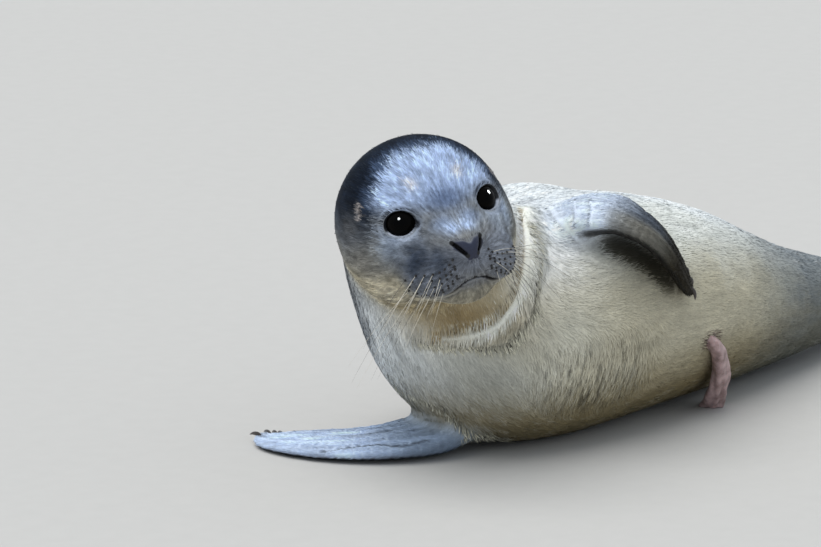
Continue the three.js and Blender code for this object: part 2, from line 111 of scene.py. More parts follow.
HIND_R = [
    (425, -2, 28, 20, 20, 0, -1, 0), (455, 1, 18, 19, 15, 0, -1, 0), (480, 4, 11, 20, 11.5, 0, -1, 0),
    (505, 8, 8, 25, 8.5, 0, -1, 0), (535, 12, 6, 31, 6.8, 0, -1, 0), (562, 16, 5, 33, 5.6, 0, -1, 0),
    (584, 19, 4, 27, 4.6, 0, -1, 0)]
TAIL = [
    (440, 10, 38, 15, 11, 0, 0, 1), (475, 19, 34, 13, 7.5, 0, 0, 1), (500, 26, 31, 11, 6, 0, 0, 1),
    (520, 31, 29, 7, 4.5, 0, 0, 1)]
STUMP = [
    (172, -58, 68, 6, 6, 1, 0, 0), (179, -75, 60, 7, 6, 1, 0, 0), (190, -73, 45, 8.5, 7, 1, 0, 0),
    (203, -64, 27, 10.5, 8, 1, 0, 0), (215, -52, 10, 12, 9, 1, 0, 0), (219.5, -46.5, 0.6, 12, 10, 1, 0, 0)]
FORE_CLAWS = [
    (0.985, 0.5, 0.12, 0.75, 12, 1.8), (0.97, -0.4, -0.2, 0.75, 13, 1.8), (0.915, -0.68, -0.4, 0.75, 13, 1.8),
    (0.85, -0.84, -0.5, 0.75, 12, 1.7), (0.775, -0.92, -0.6, 0.75, 11, 1.6)]
HIND_CLAWS = [(1, x, x * 0.25, 0.35, 9 + 7 * x * x, 1.5) for x in (-0.88, -0.47, 0, 0.47, 0.88)]
CRESCENT = 12.0
EYE_R = 14.5
LOOK = unit((0.84, 0.46, 0.28))
EYE_C = np.array([45.0, 35.2, 9.6]) - 11.5 * LOOK
EYE_U = unit(np.array([0, 0, 1.0]) - LOOK * LOOK[2])
EYE_S = np.cross(LOOK, EYE_U)             # towards the nose
LID_WIDE, LID_HIGH = math.radians(45), math.radians(35)
LO = np.array([-210.0, -140.0, -12.0])
HI = np.array([630.0, 200.0, 270.0])
FAR = 60.0


def catmull(rows, n):
    p = np.asarray(rows, float)
    m, out = len(p), []
    for i in range(m - 1):
        p0 = p[i - 1] if i else 2 * p[0] - p[1]
        p1, p2 = p[i], p[i + 1]
        p3 = p[i + 2] if i + 2 < m else 2 * p[-1] - p[-2]
        for t in np.arange(n) / n:
            out.append(0.5 * (2 * p1 + (p2 - p0) * t + (2 * p0 - 5 * p1 + 4 * p2 - p3) * t * t
                              + (3 * p1 - p0 - 3 * p2 + p3) * t ** 3))
    out.append(p[-1])
    return np.array(out)


def frames(C, W):
    T = unit(np.gradient(C, axis=0))
    W = unit(W - T * (W * T).sum(1)[:, None])
    return T, W, np.cross(T, W)


class Chain:
    """Ellipsoids strung on a smooth path, with values and gradients of their union."""

    def __init__(self, rows, n, rt=None, wide=None, blunt=None, lead=0.0, round_=False):
        q = catmull(rows, n)
        self.C = q[:, :3]
        if round_:
            self.R = np.repeat(q[:, 3:4], 3, 1)
            self.T, self.W, self.N = frames(self.C, np.tile((0, 0, 1.0), (len(q), 1)))
        else:
            W = np.tile(np.array(wide, float), (len(q), 1)) if wide is not None else q[:, 5:8]
            self.T, self.W, self.N = frames(self.C, W)
            rw, rh = q[:, 3], q[:, 4]
            r0 = 0.5 * (rw + rh) if rt is None else np.maximum(rt * rw, rh)
            if blunt:
                r0[-n:] = np.minimum(r0[-n:], blunt)
            self.R = np.stack([r0, rw, rh], 1)
        self.A = np.stack([self.T, self.W, self.N], 1)
        self.M = self.A / self.R[:, :, None]
        self.b = np.einsum("kij,kj->ki", self.M, self.C)
        self.big, self.small = self.R.max(1), self.R.min(1)
        self.arc = np.concatenate([[0], np.cumsum(np.linalg.norm(np.diff(self.C, axis=0), axis=1))])
        self.lead = lead
        if lead:
            self.axis = unit(self.C[-1] - self.C[0])
            self.long = (self.C[-1] - self.C[0]) @ self.axis

    def bend(self, P):
        """Points moved back by the crescent of the outer toes."""
        f = np.clip(2 * ((P - self.C[0]) @ self.axis) / self.long - 1, 0, 1.15)
        x = np.clip(((P - self.C[-1]) @ self.W[-1]) / self.R[-1, 1], -1.15, 1.15)
        return P - self.T[-1] * (self.lead * f * f * x * x)[:, None]

    def __call__(self, P, c, rho):
        if self.lead:
            P, rho = self.bend(P), rho + self.lead * 1.3
        D = np.linalg.norm(self.C - c, axis=1)
        lo = D - self.big - rho
        if lo.min() > FAR:
            return np.full(len(P), FAR), np.zeros((len(P), 3))
        k = np.nonzero(lo <= (D + rho - self.small).min() + 10)[0]
        q1 = (P @ self.M[k].reshape(-1, 3).T - self.b[k].reshape(-1)).reshape(len(P), -1, 3)
        q2 = q1 / self.R[k]
        k1 = np.sqrt(np.einsum("nki,nki->nk", q1, q1))
        k2 = np.maximum(np.sqrt(np.einsum("nki,nki->nk", q2, q2)), 1e-9)
        d = k1 * (k1 - 1) / k2
        j = d.argmin(1)
        r = np.arange(len(P))
        g = q2[r, j] / k2[r, j, None]
        return np.minimum(d[r, j], FAR), np.einsum("ni,nij->nj", g, self.A[k][j])

    def nearest(self, P):
        i = np.empty(len(P), int)
        for a in range(0, len(P), 20000):
            q = P[a:a + 20000]
            i[a:a + 20000] = (((q[:, None] - self.C[None]) / np.maximum(self.big, 1)[None, :, None] ** 0.0) ** 2).sum(-1).argmin(1)
        return i

    def local(self, P):
        """Distance along the path, across (in half widths), through (in half thicknesses), and the sample's number."""
        i = self.nearest(P)
        v = P - self.C[i]
        return (self.arc[i] + (v * self.T[i]).sum(1), (v * self.W[i]).sum(1) / self.R[i, 1],
                (v * self.N[i]).sum(1) / self.R[i, 2], i)


def ell(P, c, r):
    """Value and gradient of one upright ellipsoid."""
    r = np.asarray(r, float)
    q1 = (P - np.asarray(c, float)) / r
    q2 = q1 / r
    k1 = np.sqrt((q1 * q1).sum(1))
    k2 = np.maximum(np.sqrt((q2 * q2).sum(1)), 1e-9)
    return k1 * (k1 - 1) / k2, q2 / k2[:, None]


def smin(a, b, k):
    h = np.clip(0.5 + 0.5 * (b[0] - a[0]) / k, 0, 1)
    return b[0] * (1 - h) + a[0] * h - k * h * (1 - h), b[1] * (1 - h)[:, None] + a[1] * h[:, None]


def smax(a, b, k):
    d, g = smin((-a[0], -a[1]), (-b[0], -b[1]), k)
    return -d, -g


TRUNK = Chain(SPINE, 5, wide=(0, 1, 0))
FOLDC = Chain(FOLD, 4, round_=True)
FL = Chain(FORE_L, 6, 0.5, blunt=6)
FR = Chain(FORE_R, 6, 0.5, blunt=5)
TL = Chain(TAIL, 6, 0.6, blunt=6)
HLF = Chain(HIND_L, 6, 0.3, blunt=7, lead=CRESCENT)
HRF = Chain(HIND_R, 6, 0.3, blunt=7, lead=CRESCENT)
LIMBS = [FL, FR, HLF, HRF, TL]


def headlocal(P):
    return (P - HC) @ HAX.T


def head(P):
    q = headlocal(P)
    s = np.sign(q[:, 1])
    q[:, 1] = np.sqrt(q[:, 1] ** 2 + 0.01)
    d = ell(q, (-6, 0, -8), (64, 64, 62))
    d = smin(d, ell(q, (12, 14, -24), (48, 48, 42)), 16)
    m = ell(q, (46, 0, -16), (38, 35, 28))
    m = smin(m, smin(ell(q, (64, 19, -30), (20, 21, 17)), ell(q, (64, 0, -26), (22, 15, 17)), 10), 12)
    m = smin(m, ell(q, (74, 0, -11), (15, 14, 11)), 8)
    d = smin(d, m, 22)
    d = smin(d, ell(q, (58, 0, -45), (23, 22, 13)), 6)
    v = q - EYE_C
    r = np.maximum(np.linalg.norm(v, axis=1), 1e-6)
    d = smin(d, (r - (EYE_R + 1.9), v / r[:, None]), 7)
    x, y, z = v @ EYE_S, v @ EYE_U, v @ LOOK
    tx, ty = math.tan(LID_WIDE), math.tan(LID_HIGH)
    w = np.maximum(np.sqrt((x / tx) ** 2 + (y / ty) ** 2), 1e-6)
    o = (w - z) * 0.75
    go = ((x / tx ** 2 / w)[:, None] * EYE_S + (y / ty ** 2 / w)[:, None] * EYE_U - LOOK) * 0.75
    d = smax(d, (-o, -go), 1.2)
    g = d[1].copy()
    g[:, 1] *= s
    return d[0], g @ HAX


def form(P):
    c = 0.5 * (P.min(0) + P.max(0))
    rho = np.linalg.norm(P - c, axis=1).max()
    none = (np.full(len(P), FAR), np.zeros((len(P), 3)))
    tr = TRUNK(P, c, rho)
    a = tr
    if np.linalg.norm(c - (80, 42, 146)) < 115 + rho:
        a = smin(a, ell(P, (80, 42, 146), (55, 42, 40)), 22)
    hd = head(P) if np.linalg.norm(c - HC) < 150 + rho else none
    a = smin(a, hd, 12)
    a = smin(a, FOLDC(P, c, rho), 9)
    fl, fr, hl, hr, tl = (q(P, c, rho) for q in LIMBS)
    a = smin(a, fl, 9)
    a = smin(a, fr, 12)
    a = smin(a, tl, 8)
    h = np.where(hl[0] < hr[0], hl[0], hr[0]), np.where((hl[0] < hr[0])[:, None], hl[1], hr[1])
    a = smin(a, h, 6)
    a = smax(a, (-P[:, 2], np.tile((0, 0, -1.0), (len(P), 1))), 3)
    return a[0], a[1], np.stack([tr[0], hd[0], fl[0], fr[0], hl[0], hr[0], tl[0]], 1)


def evaluate(P):
    """Signed distance, gradient, and the distances of trunk, head, left and right fore, left and right hind flipper, tail."""
    P = np.asarray(P, float)
    d, g, q = np.empty(len(P)), np.empty((len(P), 3)), np.empty((len(P), 7))
    k = np.floor((P - LO) / 24).astype(np.int64)
    k = (k[:, 0] * 4096 + k[:, 1]) * 4096 + k[:, 2]
    order = np.argsort(k, kind="stable")
    for idx in np.split(order, np.flatnonzero(np.diff(k[order])) + 1):
        for a in range(0, len(idx), 4000):
            i = idx[a:a + 4000]
            d[i], g[i], q[i] = form(P[i])
    return d, g, q


def settle(P, rounds):
    for _ in range(rounds):
        d, g, _ = evaluate(P)
        n2 = np.maximum((g ** 2).sum(1), 0.05)
        st = g * (-d / n2)[:, None]
        l = np.linalg.norm(st, axis=1)
        P = P + st * np.minimum(1, 2.5 / np.maximum(l, 1e-9))[:, None]
    return P


def surface(h, block=8):
    """Closed quads round the form, one point in each cell that it crosses."""
    n = (np.ceil((HI - LO) / h / block).astype(int)) * block
    nb = n // block
    cc = np.stack(np.meshgrid(*[np.arange(m) for m in nb], indexing="ij"), -1).reshape(-1, 3)
    v = evaluate(LO + (cc + 0.5) * block * h)[0]
    sg = np.where(v < 0, -1e3, 1e3).reshape(nb)
    F = np.full(tuple(n + 1), 1e3, np.float32)
    F[:n[0], :n[1], :n[2]] = np.repeat(np.repeat(np.repeat(sg, block, 0), block, 1), block, 2)
    near = cc[np.abs(v) < block * h * 0.87 * 1.5 + h]
    g = np.stack(np.meshgrid(*[np.arange(block + 1)] * 3, indexing="ij"), -1).reshape(-1, 3)
    for b in near:
        k = b * block + g
        F[k[:, 0], k[:, 1], k[:, 2]] = form(LO + k * h)[0]
    S = F < 0
    s = sum(S[a:S.shape[0] - 1 + a, b:S.shape[1] - 1 + b, c:S.shape[2] - 1 + c].astype(np.int8)
            for a in (0, 1) for b in (0, 1) for c in (0, 1))
    ci = np.argwhere((s > 0) & (s < 8))
    i, j, k = ci.T
    val = {(a, b, c): F[i + a, j + b, k + c] for a in (0, 1) for b in (0, 1) for c in (0, 1)}
    P, C = np.zeros((len(ci), 3)), np.zeros(len(ci))
    for a in val:
        for ax in range(3):
            if a[ax] == 0:
                b = list(a); b[ax] = 1
                va, vb = val[a], val[tuple(b)]
                m = (va < 0) != (vb < 0)
                q = np.tile(np.array(a, float), (len(ci), 1))
                q[:, ax] += np.where(m, va / np.where(m, va - vb, 1), 0)
                P[m] += q[m]; C[m] += 1
    V = LO + (ci + P / C[:, None]) * h
    index = np.full(s.shape, -1, np.int64)
    index[i, j, k] = np.arange(len(ci))
    quads = []
    for ax in range(3):
        o = [x for x in range(3) if x != ax]
        s0, s1 = [slice(None)] * 3, [slice(None)] * 3
        s0[ax], s1[ax] = slice(0, -1), slice(1, None)
        e = np.argwhere(S[tuple(s0)] != S[tuple(s1)])
        e = e[(e[:, o[0]] > 0) & (e[:, o[1]] > 0) & (e[:, o[0]] < F.shape[o[0]] - 1) & (e[:, o[1]] < F.shape[o[1]] - 1)]
        u, w = np.zeros(3, int), np.zeros(3, int)
        u[o[0]], w[o[1]] = 1, 1
        at = lambda d: index[tuple((e + d).T)]
        q = np.stack([at(-u - w), at(-w), at(0 * u), at(-u)], 1)
        flip = S[tuple(e.T)] if ax != 1 else ~S[tuple(e.T)]
        q[~flip] = q[~flip][:, ::-1]
        quads.append(q)
    return V, np.concatenate(quads)


def triangles(V, Q):
    a = np.linalg.norm(V[Q[:, 0]] - V[Q[:, 2]], axis=1) <= np.linalg.norm(V[Q[:, 1]] - V[Q[:, 3]], axis=1)
    A, B = Q[a], Q[~a]
    return np.concatenate([A[:, [0, 1, 2]], A[:, [0, 2, 3]], B[:, [1, 2, 3]], B[:, [1, 3, 0]]])


def refine(V, T, mask):
    """Marked triangles in four, and their neighbours split to match."""
    n = len(V)
    E = np.sort(T[:, [0, 1, 1, 2, 2, 0]].reshape(-1, 2), 1)
    uk, inv = np.unique(E[:, 0] * n + E[:, 1], return_inverse=True)
    mark = np.zeros(len(uk), bool)
    mark[inv[np.repeat(mask, 3)]] = True
    mid = np.full(len(uk), -1)
    mid[mark] = n + np.arange(mark.sum())
    e = uk[mark]
    V = np.concatenate([V, (V[e // n] + V[e % n]) / 2])
    m = mid[inv].reshape(-1, 3)
    c = (m >= 0).sum(1)
    out = [T[c == 0]]
    t, k = T[c == 3], m[c == 3]
    out += [np.stack(x, 1) for x in ((t[:, 0], k[:, 0], k[:, 2]), (k[:, 0], t[:, 1], k[:, 1]),
                                     (k[:, 2], k[:, 1], t[:, 2]), (k[:, 0], k[:, 1], k[:, 2]))]
    for r in range(3):
        w = (c == 2) & (m[:, (2 + r) % 3] < 0)
        t, k = np.roll(T[w], -r, 1), np.roll(m[w], -r, 1)
        out += [np.stack(x, 1) for x in ((k[:, 0], t[:, 1], k[:, 1]), (t[:, 0], k[:, 0], k[:, 1]), (t[:, 0], k[:, 1], t[:, 2]))]
        w = (c == 1) & (m[:, r] >= 0)
        t, k = np.roll(T[w], -r, 1), np.roll(m[w], -r, 1)
        out += [np.stack(x, 1) for x in ((t[:, 0], k[:, 0], t[:, 2]), (k[:, 0], t[:, 1], t[:, 2]))]
    return V, np.concatenate(out)


# ------------------------------------------------------------------ small tools
def ss(a, b, x):
    t = np.clip((x - a) / (b - a), 0, 1)
    return t * t * (3 - 2 * t)


def vnoise(P, seed=0):
    """Smooth value noise from 0 to 1, one cell a unit."""
    P = np.asarray(P, float)
    i = np.floor(P).astype(np.int64)
    f = P - i
    f = f * f * (3 - 2 * f)
    out = 0
    for a in (0, 1):
        for b in (0, 1):
            for c in (0, 1):
                h = ((i[:, 0] + a) * 374761393 + (i[:, 1] + b) * 668265263 + (i[:, 2] + c) * 1442695041 + seed * 974711) & 0xffffffff
                h = ((h ^ (h >> 13)) * 1274126177) & 0xffffffff
                h = ((h ^ (h >> 16)) & 0xffff) / 65535.0
                out = out + h * (f[:, 0] if a else 1 - f[:, 0]) * (f[:, 1] if b else 1 - f[:, 1]) * (f[:, 2] if c else 1 - f[:, 2])
    return out


def fbm(P, seed=0, octaves=3):
    s, a, t = 0, 1.0, 0
    for o in range(octaves):
        s = s + a * vnoise(P * 2.0 ** o, seed + 17 * o)
        t += a
        a *= 0.5
    return s / t


def near_line(P, line):
    """Distance to a line of points, and how far along it, from 0 to 1."""
    L = np.asarray(line, float)
    best, where = np.full(len(P), 1e9), np.zeros(len(P))
    cum = np.concatenate([[0], np.cumsum(np.linalg.norm(np.diff(L, axis=0), axis=1))])
    for i in range(len(L) - 1):
        v = L[i + 1] - L[i]
        t = np.clip(((P - L[i]) @ v) / (v @ v), 0, 1)
        d = np.linalg.norm(P - L[i] - t[:, None] * v, axis=1)
        m = d < best
        best[m] = d[m]
        where[m] = ((cum[i] + t * (cum[i + 1] - cum[i])) / cum[-1])[m]
    return best, where


def groove(P, line, width, deep, ends=0.12):
    out = np.zeros(len(P))
    L = catmull(line, 4)
    near = np.flatnonzero(((P > L.min(0) - 3 * width) & (P < L.max(0) + 3 * width)).all(1))
    if len(near):
        d, t = near_line(P[near], L)
        out[near] = deep * np.exp(-(d / width) ** 2) * ss(0, ends, t) * ss(1, 1 - ends, t)
    return out


# ------------------------------------------------------------------ lines of the face (head axes, one side) and of the body
NOSTRIL = [(79.5, 11.8, -3.2), (84.3, 10, -5.6), (87.6, 7.2, -9.6), (89, 4.4, -13.4)]
PHILTRUM = [(89.2, 0, -15.5), (88, 0, -21), (87, 0, -27), (85, 0, -33)]
MOUTH = [(85.5, 0, -33), (84.3, 7.5, -34.6), (80.5, 14, -39.2), (77.5, 19.5, -42.4), (72, 27, -44.5), (63, 35, -45.3), (54, 41, -43.5)]
EAR = [(14.2, 53.6, 20), (16, 54.8, 16.5), (17.3, 55.6, 13.6)]
FOLD_IN = [(-97, -10, 109), (-82, -30, 111), (-68, -42, 116), (-58, -46, 124), (-47, -48, 136), (-29, -43, 159), (-7, -27, 176), (30, 4, 186)]
FOLD_OUT = [(-101, 5, 104), (-91, -13, 98), (-75, -29, 98), (-52, -42, 95), (-40, -50, 105), (-26, -53, 121), (-20, -50, 149), (10, -21, 177)]
CREASES = [  # line, width, depth
    ([(-62, 56, 55), (-65, 32, 49), (-60, 17, 42), (-43, 6, 28), (-32, 4, 15)], 3.2, 2.4),
    ([(-111, 81, 9), (-99, 64, 13), (-87, 47, 15), (-79, 30, 15), (-61, 19, 17)], 1.6, 1.0),
    ([(-94, 118, 12), (-87, 94, 14), (-76, 70, 17), (-63, 51, 21)], 1.8, 0.8),
    ([(53, -28, 188), (35, -41, 182), (30, -45, 172)], 2.0, 1.2),
    ([(55, -41, 190), (41, -52, 184), (35, -54, 174)], 1.8, 1.1),
    ([(48, -7, 183), (27, -32, 176), (32, -44, 163), (45, -51, 152)], 2.2, 1.5),
    ([(23, -39, 164), (34, -50, 152), (49, -60, 142), (71, -65, 136)], 2.2, 1.6),
    ([(16, -26, 175), (5, -41, 159), (9, -51, 145)], 2.6, 1.3),
    ([(-60, -30, 92), (-40, -44, 92), (-18, -52, 108), (-8, -54, 130)], 3.0, 1.1),
    ([(248, -62, 52), (254, -63, 50), (259, -62, 49)], 1.8, 1.5)]
NAVEL = np.array([175.0, -72.0, 64.0])


def mirrored(P):
    q = headlocal(P)
    q[:, 1] = np.abs(q[:, 1])
    return q


def eye_axes(q):
    v = q - EYE_C
    return v @ EYE_S, v @ EYE_U, v @ LOOK


def pad_mask(q):
    """1 on the bare nose pad."""
    wide = 3.6 + 8.2 * ss(-17, -5, q[:, 2])
    top = -3.0 - 2.2 * ss(5, 0, q[:, 1])
    return ss(1.2, 0, q[:, 1] - wide) * ss(-18.0, -16.5, q[:, 2]) * ss(top + 1.6, top - 0.8, q[:, 2]) * ss(70, 76, q[:, 0])


DOTS = []     # whisker roots on a pad, in head axes: rows upward from the lip, the longest whiskers furthest back
for r in range(5):
    for c in range(8 - (r == 4)):
        b = c + 0.45 * (r % 2)
        DOTS.append((85.2 + 0.36 * b - 0.57 * r - 0.592 * b * b + 0.135 * b * r,
                     -29.4 - 3.59 * b + 3.64 * r + 0.283 * b * b + 0.053 * b * r, r, c))


def features(P, q, N, w_head):
    """How far the skin moves out (mm): lips, lids, nostrils, wrinkles."""
    d = np.zeros(len(P))
    f = w_head > 0.5
    Q = q[f]
    e = np.zeros(len(Q))
    e += 0.9 * pad_mask(Q)
    e -= groove(Q, NOSTRIL, 1.45, 3.8, 0.14)
    e += 0.5 * groove(Q, [(p[0], p[1] + 2.6, p[2] + 1.4) for p in NOSTRIL], 1.6, 1.0, 0.2)
    e -= groove(Q, PHILTRUM, 0.9, 1.3, 0.1)
    e -= groove(Q, MOUTH, 1.25, 3.2, 0.05)
    e += groove(Q, [(p[0], p[1], p[2] + 3.0) for p in MOUTH[:5]], 2.2, 0.6, 0.1)
    e += groove(Q, [(p[0], p[1], p[2] - 3.2) for p in MOUTH[:5]], 2.4, 0.6, 0.1)
    e -= groove(Q, EAR, 1.6, 4.0, 0.12)
    e += groove(Q, [(p[0] - 2.6, p[1] + 1, p[2]) for p in EAR], 2.0, 0.9, 0.15)
    x, y, z = eye_axes(Q)
    rho = np.sqrt((x / 1.25) ** 2 + y ** 2)
    front = ss(-2, 4, z)
    e += front * 0.30 * np.exp(-((rho - 9.6) / 0.9) ** 2)
    e -= front * ss(-3, 3, y) * 1.0 * np.exp(-((rho - 11.9) / 1.0) ** 2)
    e -= front * ss(3, -3, y) * 0.8 * np.exp(-((rho - 12.2) / 1.2) ** 2)
    e += front * ss(-2, 4, y) * 0.7 * np.exp(-((rho - 14.6) / 1.6) ** 2)
    e += front * ss(2, -4, y) * 0.4 * np.exp(-((rho - 14.8) / 1.6) ** 2)
    inner = EYE_C + (EYE_R + 1.0) * (LOOK * math.cos(0.74) + EYE_S * math.sin(0.74))
    e -= groove(Q, [inner - 2 * EYE_S, inner + 2.0 * EYE_S - 1.2 * EYE_U, inner + 6.0 * EYE_S - 4.5 * EYE_U], 1.2, 1.6, 0.2)
    near = Q[:, 0] > 40
    for fd, ud, r, c in DOTS:
        m = near & (np.abs(Q[:, 0] - fd) < 4) & (np.abs(Q[:, 2] - ud) < 4) & (Q[:, 1] > 6)
        dd = (Q[m, 0] - fd) ** 2 + (Q[m, 2] - ud) ** 2
        e[m] += 0.45 * np.exp(-dd / 1.7)
    # a few shallow folds over the muzzle between the pads and the eyes
    e += 0.25 * (fbm(Q / 9, 5) - 0.5)
    d[f] += e
    d -= groove(P, FOLD_IN, 2.6, 3.0, 0.08)
    d -= groove(P, FOLD_OUT, 3.0, 1.2, 0.1)
    for line, wide, deep in CREASES:
        d -= groove(P, line, wide, deep)
    return d


# ------------------------------------------------------------------ colours (sRGB, 0 to 255)
def mix(a, b, w):
    return a + (np.asarray(b, float) - a) * np.asarray(w)[:, None]


def body_angle(P):
    """Distance along the spine from the tail, angle round it from the belly (deg), spine tangent."""
    i = TRUNK.nearest(P)
    v = P - TRUNK.C[i]
    s = TRUNK.arc[i] + (v * TRUNK.T[i]).sum(1)
    out = -(v * TRUNK.W[i]).sum(1), -(v * TRUNK.N[i]).sum(1)
    return s, np.degrees(np.arctan2(out[1], out[0])), TRUNK.T[i]


def paint(P, w, s, th, N, dots=True):
    """Markings of skin and coat, with some painted shade and light: P places, w weights of trunk, head and limbs, s and
    th from body_angle, N outward.
    """
    n1, n2, n3 = fbm(P / 34, 1), fbm(P / 12, 2), fbm(P / 5, 3, 2)
    A = np.abs(th)
    lean = A + 26 * (n1 - 0.5)
    c = np.tile((202.0, 196.0, 174.0), (len(P), 1))
    c = mix(c, (228, 231, 226), ss(12, 52, lean))
    c = mix(c, (240, 246, 250), ss(50, 80, lean))
    # darker and browner towards the floor: partly stained belly hair, partly painted shade and painted warm light
    # bounced from the ground
    low = ss(78, 22, P[:, 2])
    c = mix(c, (124, 109, 74), 0.85 * low)
    tail_end = ss(250, 90, s + 40 * (n1 - 0.5))
    c = mix(c, (112, 120, 126), 0.78 * tail_end * ss(-20, 10, A) * (0.6 + 0.8 * n2))
    # the same darkening low on the rump: partly stain, partly painted shade
    c = mix(c, (104, 102, 86), 0.5 * tail_end * low)
    # the dark back comes further down the sides towards the rump
    edge = 118 - 42 * ss(230, 20, s)
    back = ss(edge - 14, edge + 20, A + 22 * (n1 - 0.5) + 12 * (n2 - 0.5))
    c = mix(c, (104, 110, 117), 0.9 * back)
    spots = ss(0.56, 0.68, fbm(P / 13, 21)) * ss(45, 110, A)
    c = mix(c, (66, 70, 76), spots * (0.25 + 0.5 * back))
    rings = ss(0.05, 0.0, np.abs(fbm(P / 17, 33) - 0.56)) * np.maximum(back, 0.5 * tail_end)
    c = mix(c, (158, 160, 158), 0.45 * rings)
    flecks = ss(0.60, 0.72, fbm(P / 6.5, 41, 2)) * ss(20, 60, A)
    c = mix(c, (232, 233, 230), 0.35 * flecks * (1 - back))
    # chest and throat
    chest = np.exp(-((P - (-45, -10, 75)) ** 2 / np.array([60, 60, 38]) ** 2).sum(1))
    c = mix(c, (160, 160, 150), 0.65 * chest)
    top_mark = ss(0.5, 0.62, fbm(P / 9, 51)) * np.exp(-((P - (-5, 10, 188)) ** 2 / np.array([50, 40, 20]) ** 2).sum(1))
    c = mix(c, (96, 102, 112), 0.6 * top_mark)
    white = np.exp(-((P - (-8, -42, 168)) ** 2 / np.array([48, 34, 42]) ** 2).sum(1))
    c = mix(c, (250, 252, 254), 0.95 * white)
    c = mix(c, (230, 230, 218), 0.6 * np.exp(-((P - (-4, -66, 98)) ** 2 / np.array([40, 30, 30]) ** 2).sum(1)))
    d, _ = near_line(P, FOLDC.C[::3])
    c = mix(c, (214, 215, 208), 0.75 * ss(17, 9, d) * (0.35 + 0.65 * ss(106, 130, P[:, 2])))
    fi, ti = near_line(P, catmull(FOLD_IN, 3))
    fo, to = near_line(P, catmull(FOLD_OUT, 3))
    throat = np.exp(-((P - (-84, -22, 124)) ** 2 / np.array([46, 40, 17]) ** 2).sum(1))
    c = mix(c, (146, 124, 84), 0.9 * throat)
    c = mix(c, (244, 245, 236), 0.95 * ss(10, 6, fi) * ss(14.5, 12.5, d) * ss(0.0, 0.2, ti))
    c = mix(c, (140, 118, 78), 0.8 * ss(2.4, 1.0, fi))
    c = mix(c, (150, 148, 136), 0.5 * ss(4, 1.5, fo))
    # head
    q = headlocal(P)
    left = ss(6, -6, q[:, 1])                 # 1 on its own right side
    q[:, 1] = np.abs(q[:, 1])
    F, L, U = q.T

    def blob(f, l, u, rf, rl, ru):
        return np.exp(-(((F - f) / rf) ** 2 + ((L - l) / rl) ** 2 + ((U - u) / ru) ** 2))
    wob = 9 * (n1 - 0.5) + 6 * (n2 - 0.5)
    h = np.tile((128.0, 128.0, 124.0), (len(P), 1))
    h = mix(h, (176, 168, 146), ss(-20, -38, U + wob))
    h = mix(h, (22, 29, 41), ss(-6, 16, U + 0.30 * (L - 40) + wob) * ss(44, 26, F + wob))
    h = mix(h, (92, 98, 108), 0.7 * ss(-22, -2, U + wob) * ss(20, 0, U) * ss(40, 20, F))
    rim = F - 12 - 0.55 * np.maximum(L - 20, 0) + wob
    rim = rim + 10 * (n3 - 0.5)
    fore = ss(-5, 7, rim) * ss(12, 26, U)
    h = mix(h, (86, 104, 134), 0.6 * ss(-18, -3, rim) * ss(12, 26, U))
    h = mix(h, (178, 198, 232), 0.95 * fore)
    h = mix(h, (92, 108, 138), 0.9 * blob(54, 0, 20, 11, 17, 13))
    h = mix(h, (84, 98, 124), 0.7 * blob(50, 21, 8, 6, 6, 9))
    h = mix(h, (120, 138, 170), 0.8 * blob(66, 10, 6, 8, 12, 8))
    # the nose bridge: blue-grey fur with a painted highlight on it
    h = mix(h, (168, 188, 222), 0.95 * blob(73.5, 5, 3, 6.5, 8, 6))
    h = mix(h, (172, 190, 216), 0.9 * blob(43, 42, -6, 12, 11, 10))
    h = mix(h, (140, 152, 172), 0.8 * blob(60, 27, -2, 9, 7, 6))
    h = mix(h, (236, 230, 230), 0.8 * blob(38.5, 18, 32.5, 4.2, 4.5, 4.0) * ss(0.2, 0.7, n3 + 0.2))
    muz = ss(50, 68, F) * ss(5, -13, U)
    h = mix(h, (124, 130, 142), 0.9 * muz * ss(-52, -40, U))
    patch = np.maximum(blob(66, 35, -13, 15, 12, 13) ** 0.8, 0.85 * blob(80, 25, -15, 14, 12, 12))
    h = mix(h, (50, 58, 72), np.clip((0.08 + 0.84 * left) * patch * (0.45 + 0.95 * n3 + 0.5 * (n2 - 0.5)), 0, 0.92))
    h = mix(h, (150, 156, 166), 0.6 * (1 - left) * blob(80, 25, -22, 12, 10, 12))
    h = mix(h, (182, 196, 214), 0.75 * (1 - left) * blob(58, 30, -4, 11, 9, 10))
    h = mix(h, (160, 174, 196), 0.5 * blob(50, 42, -10, 9, 9, 7))
    h = mix(h, (106, 104, 102), 0.6 * blob(10, 54, 4, 12, 16, 12))
    h = mix(h, (158, 153, 143), 0.55 * blob(25, 50, -21, 14, 20, 11))
    h = mix(h, (132, 134, 136), 0.75 * blob(84, 6, -28, 8, 10, 5))
    h = mix(h, (184, 180, 166), ss(-38, -45, U) * ss(44, 62, F) * 0.9)
    h = mix(h, (138, 133, 118), 0.7 * ss(58, 70, F) * ss(-34, -42, U) * ss(24, 12, L))
    h = mix(h, (162, 147, 113), 0.85 * ss(-50, -62, U + 5 * (n2 - 0.5)) * ss(-10, 14, F))
    h = mix(h, (222, 214, 192), 0.85 * blob(38, 47, -42, 15, 14, 12))
    dm, _ = near_line(q, catmull(MOUTH, 3))
    h = mix(h, (20, 18, 20), ss(1.7, 0.8, dm))
    h = mix(h, (132, 132, 130), 0.6 * ss(5.0, 2.6, dm) * ss(1.4, 2.4, dm))
    x, y, z = eye_axes(q)
    rho = np.sqrt((x / 1.25) ** 2 + y ** 2)
    ring = ss(0, 6, z)
    h = mix(h, (150, 162, 182), 0.75 * ss(17.5, 12.5, rho) * ss(9.6, 10.6, rho) * ring * (0.45 + 0.55 * ss(4, -2, y)))
    h = mix(h, (24, 26, 32), ss(10.0, 9.3, rho) * ring)
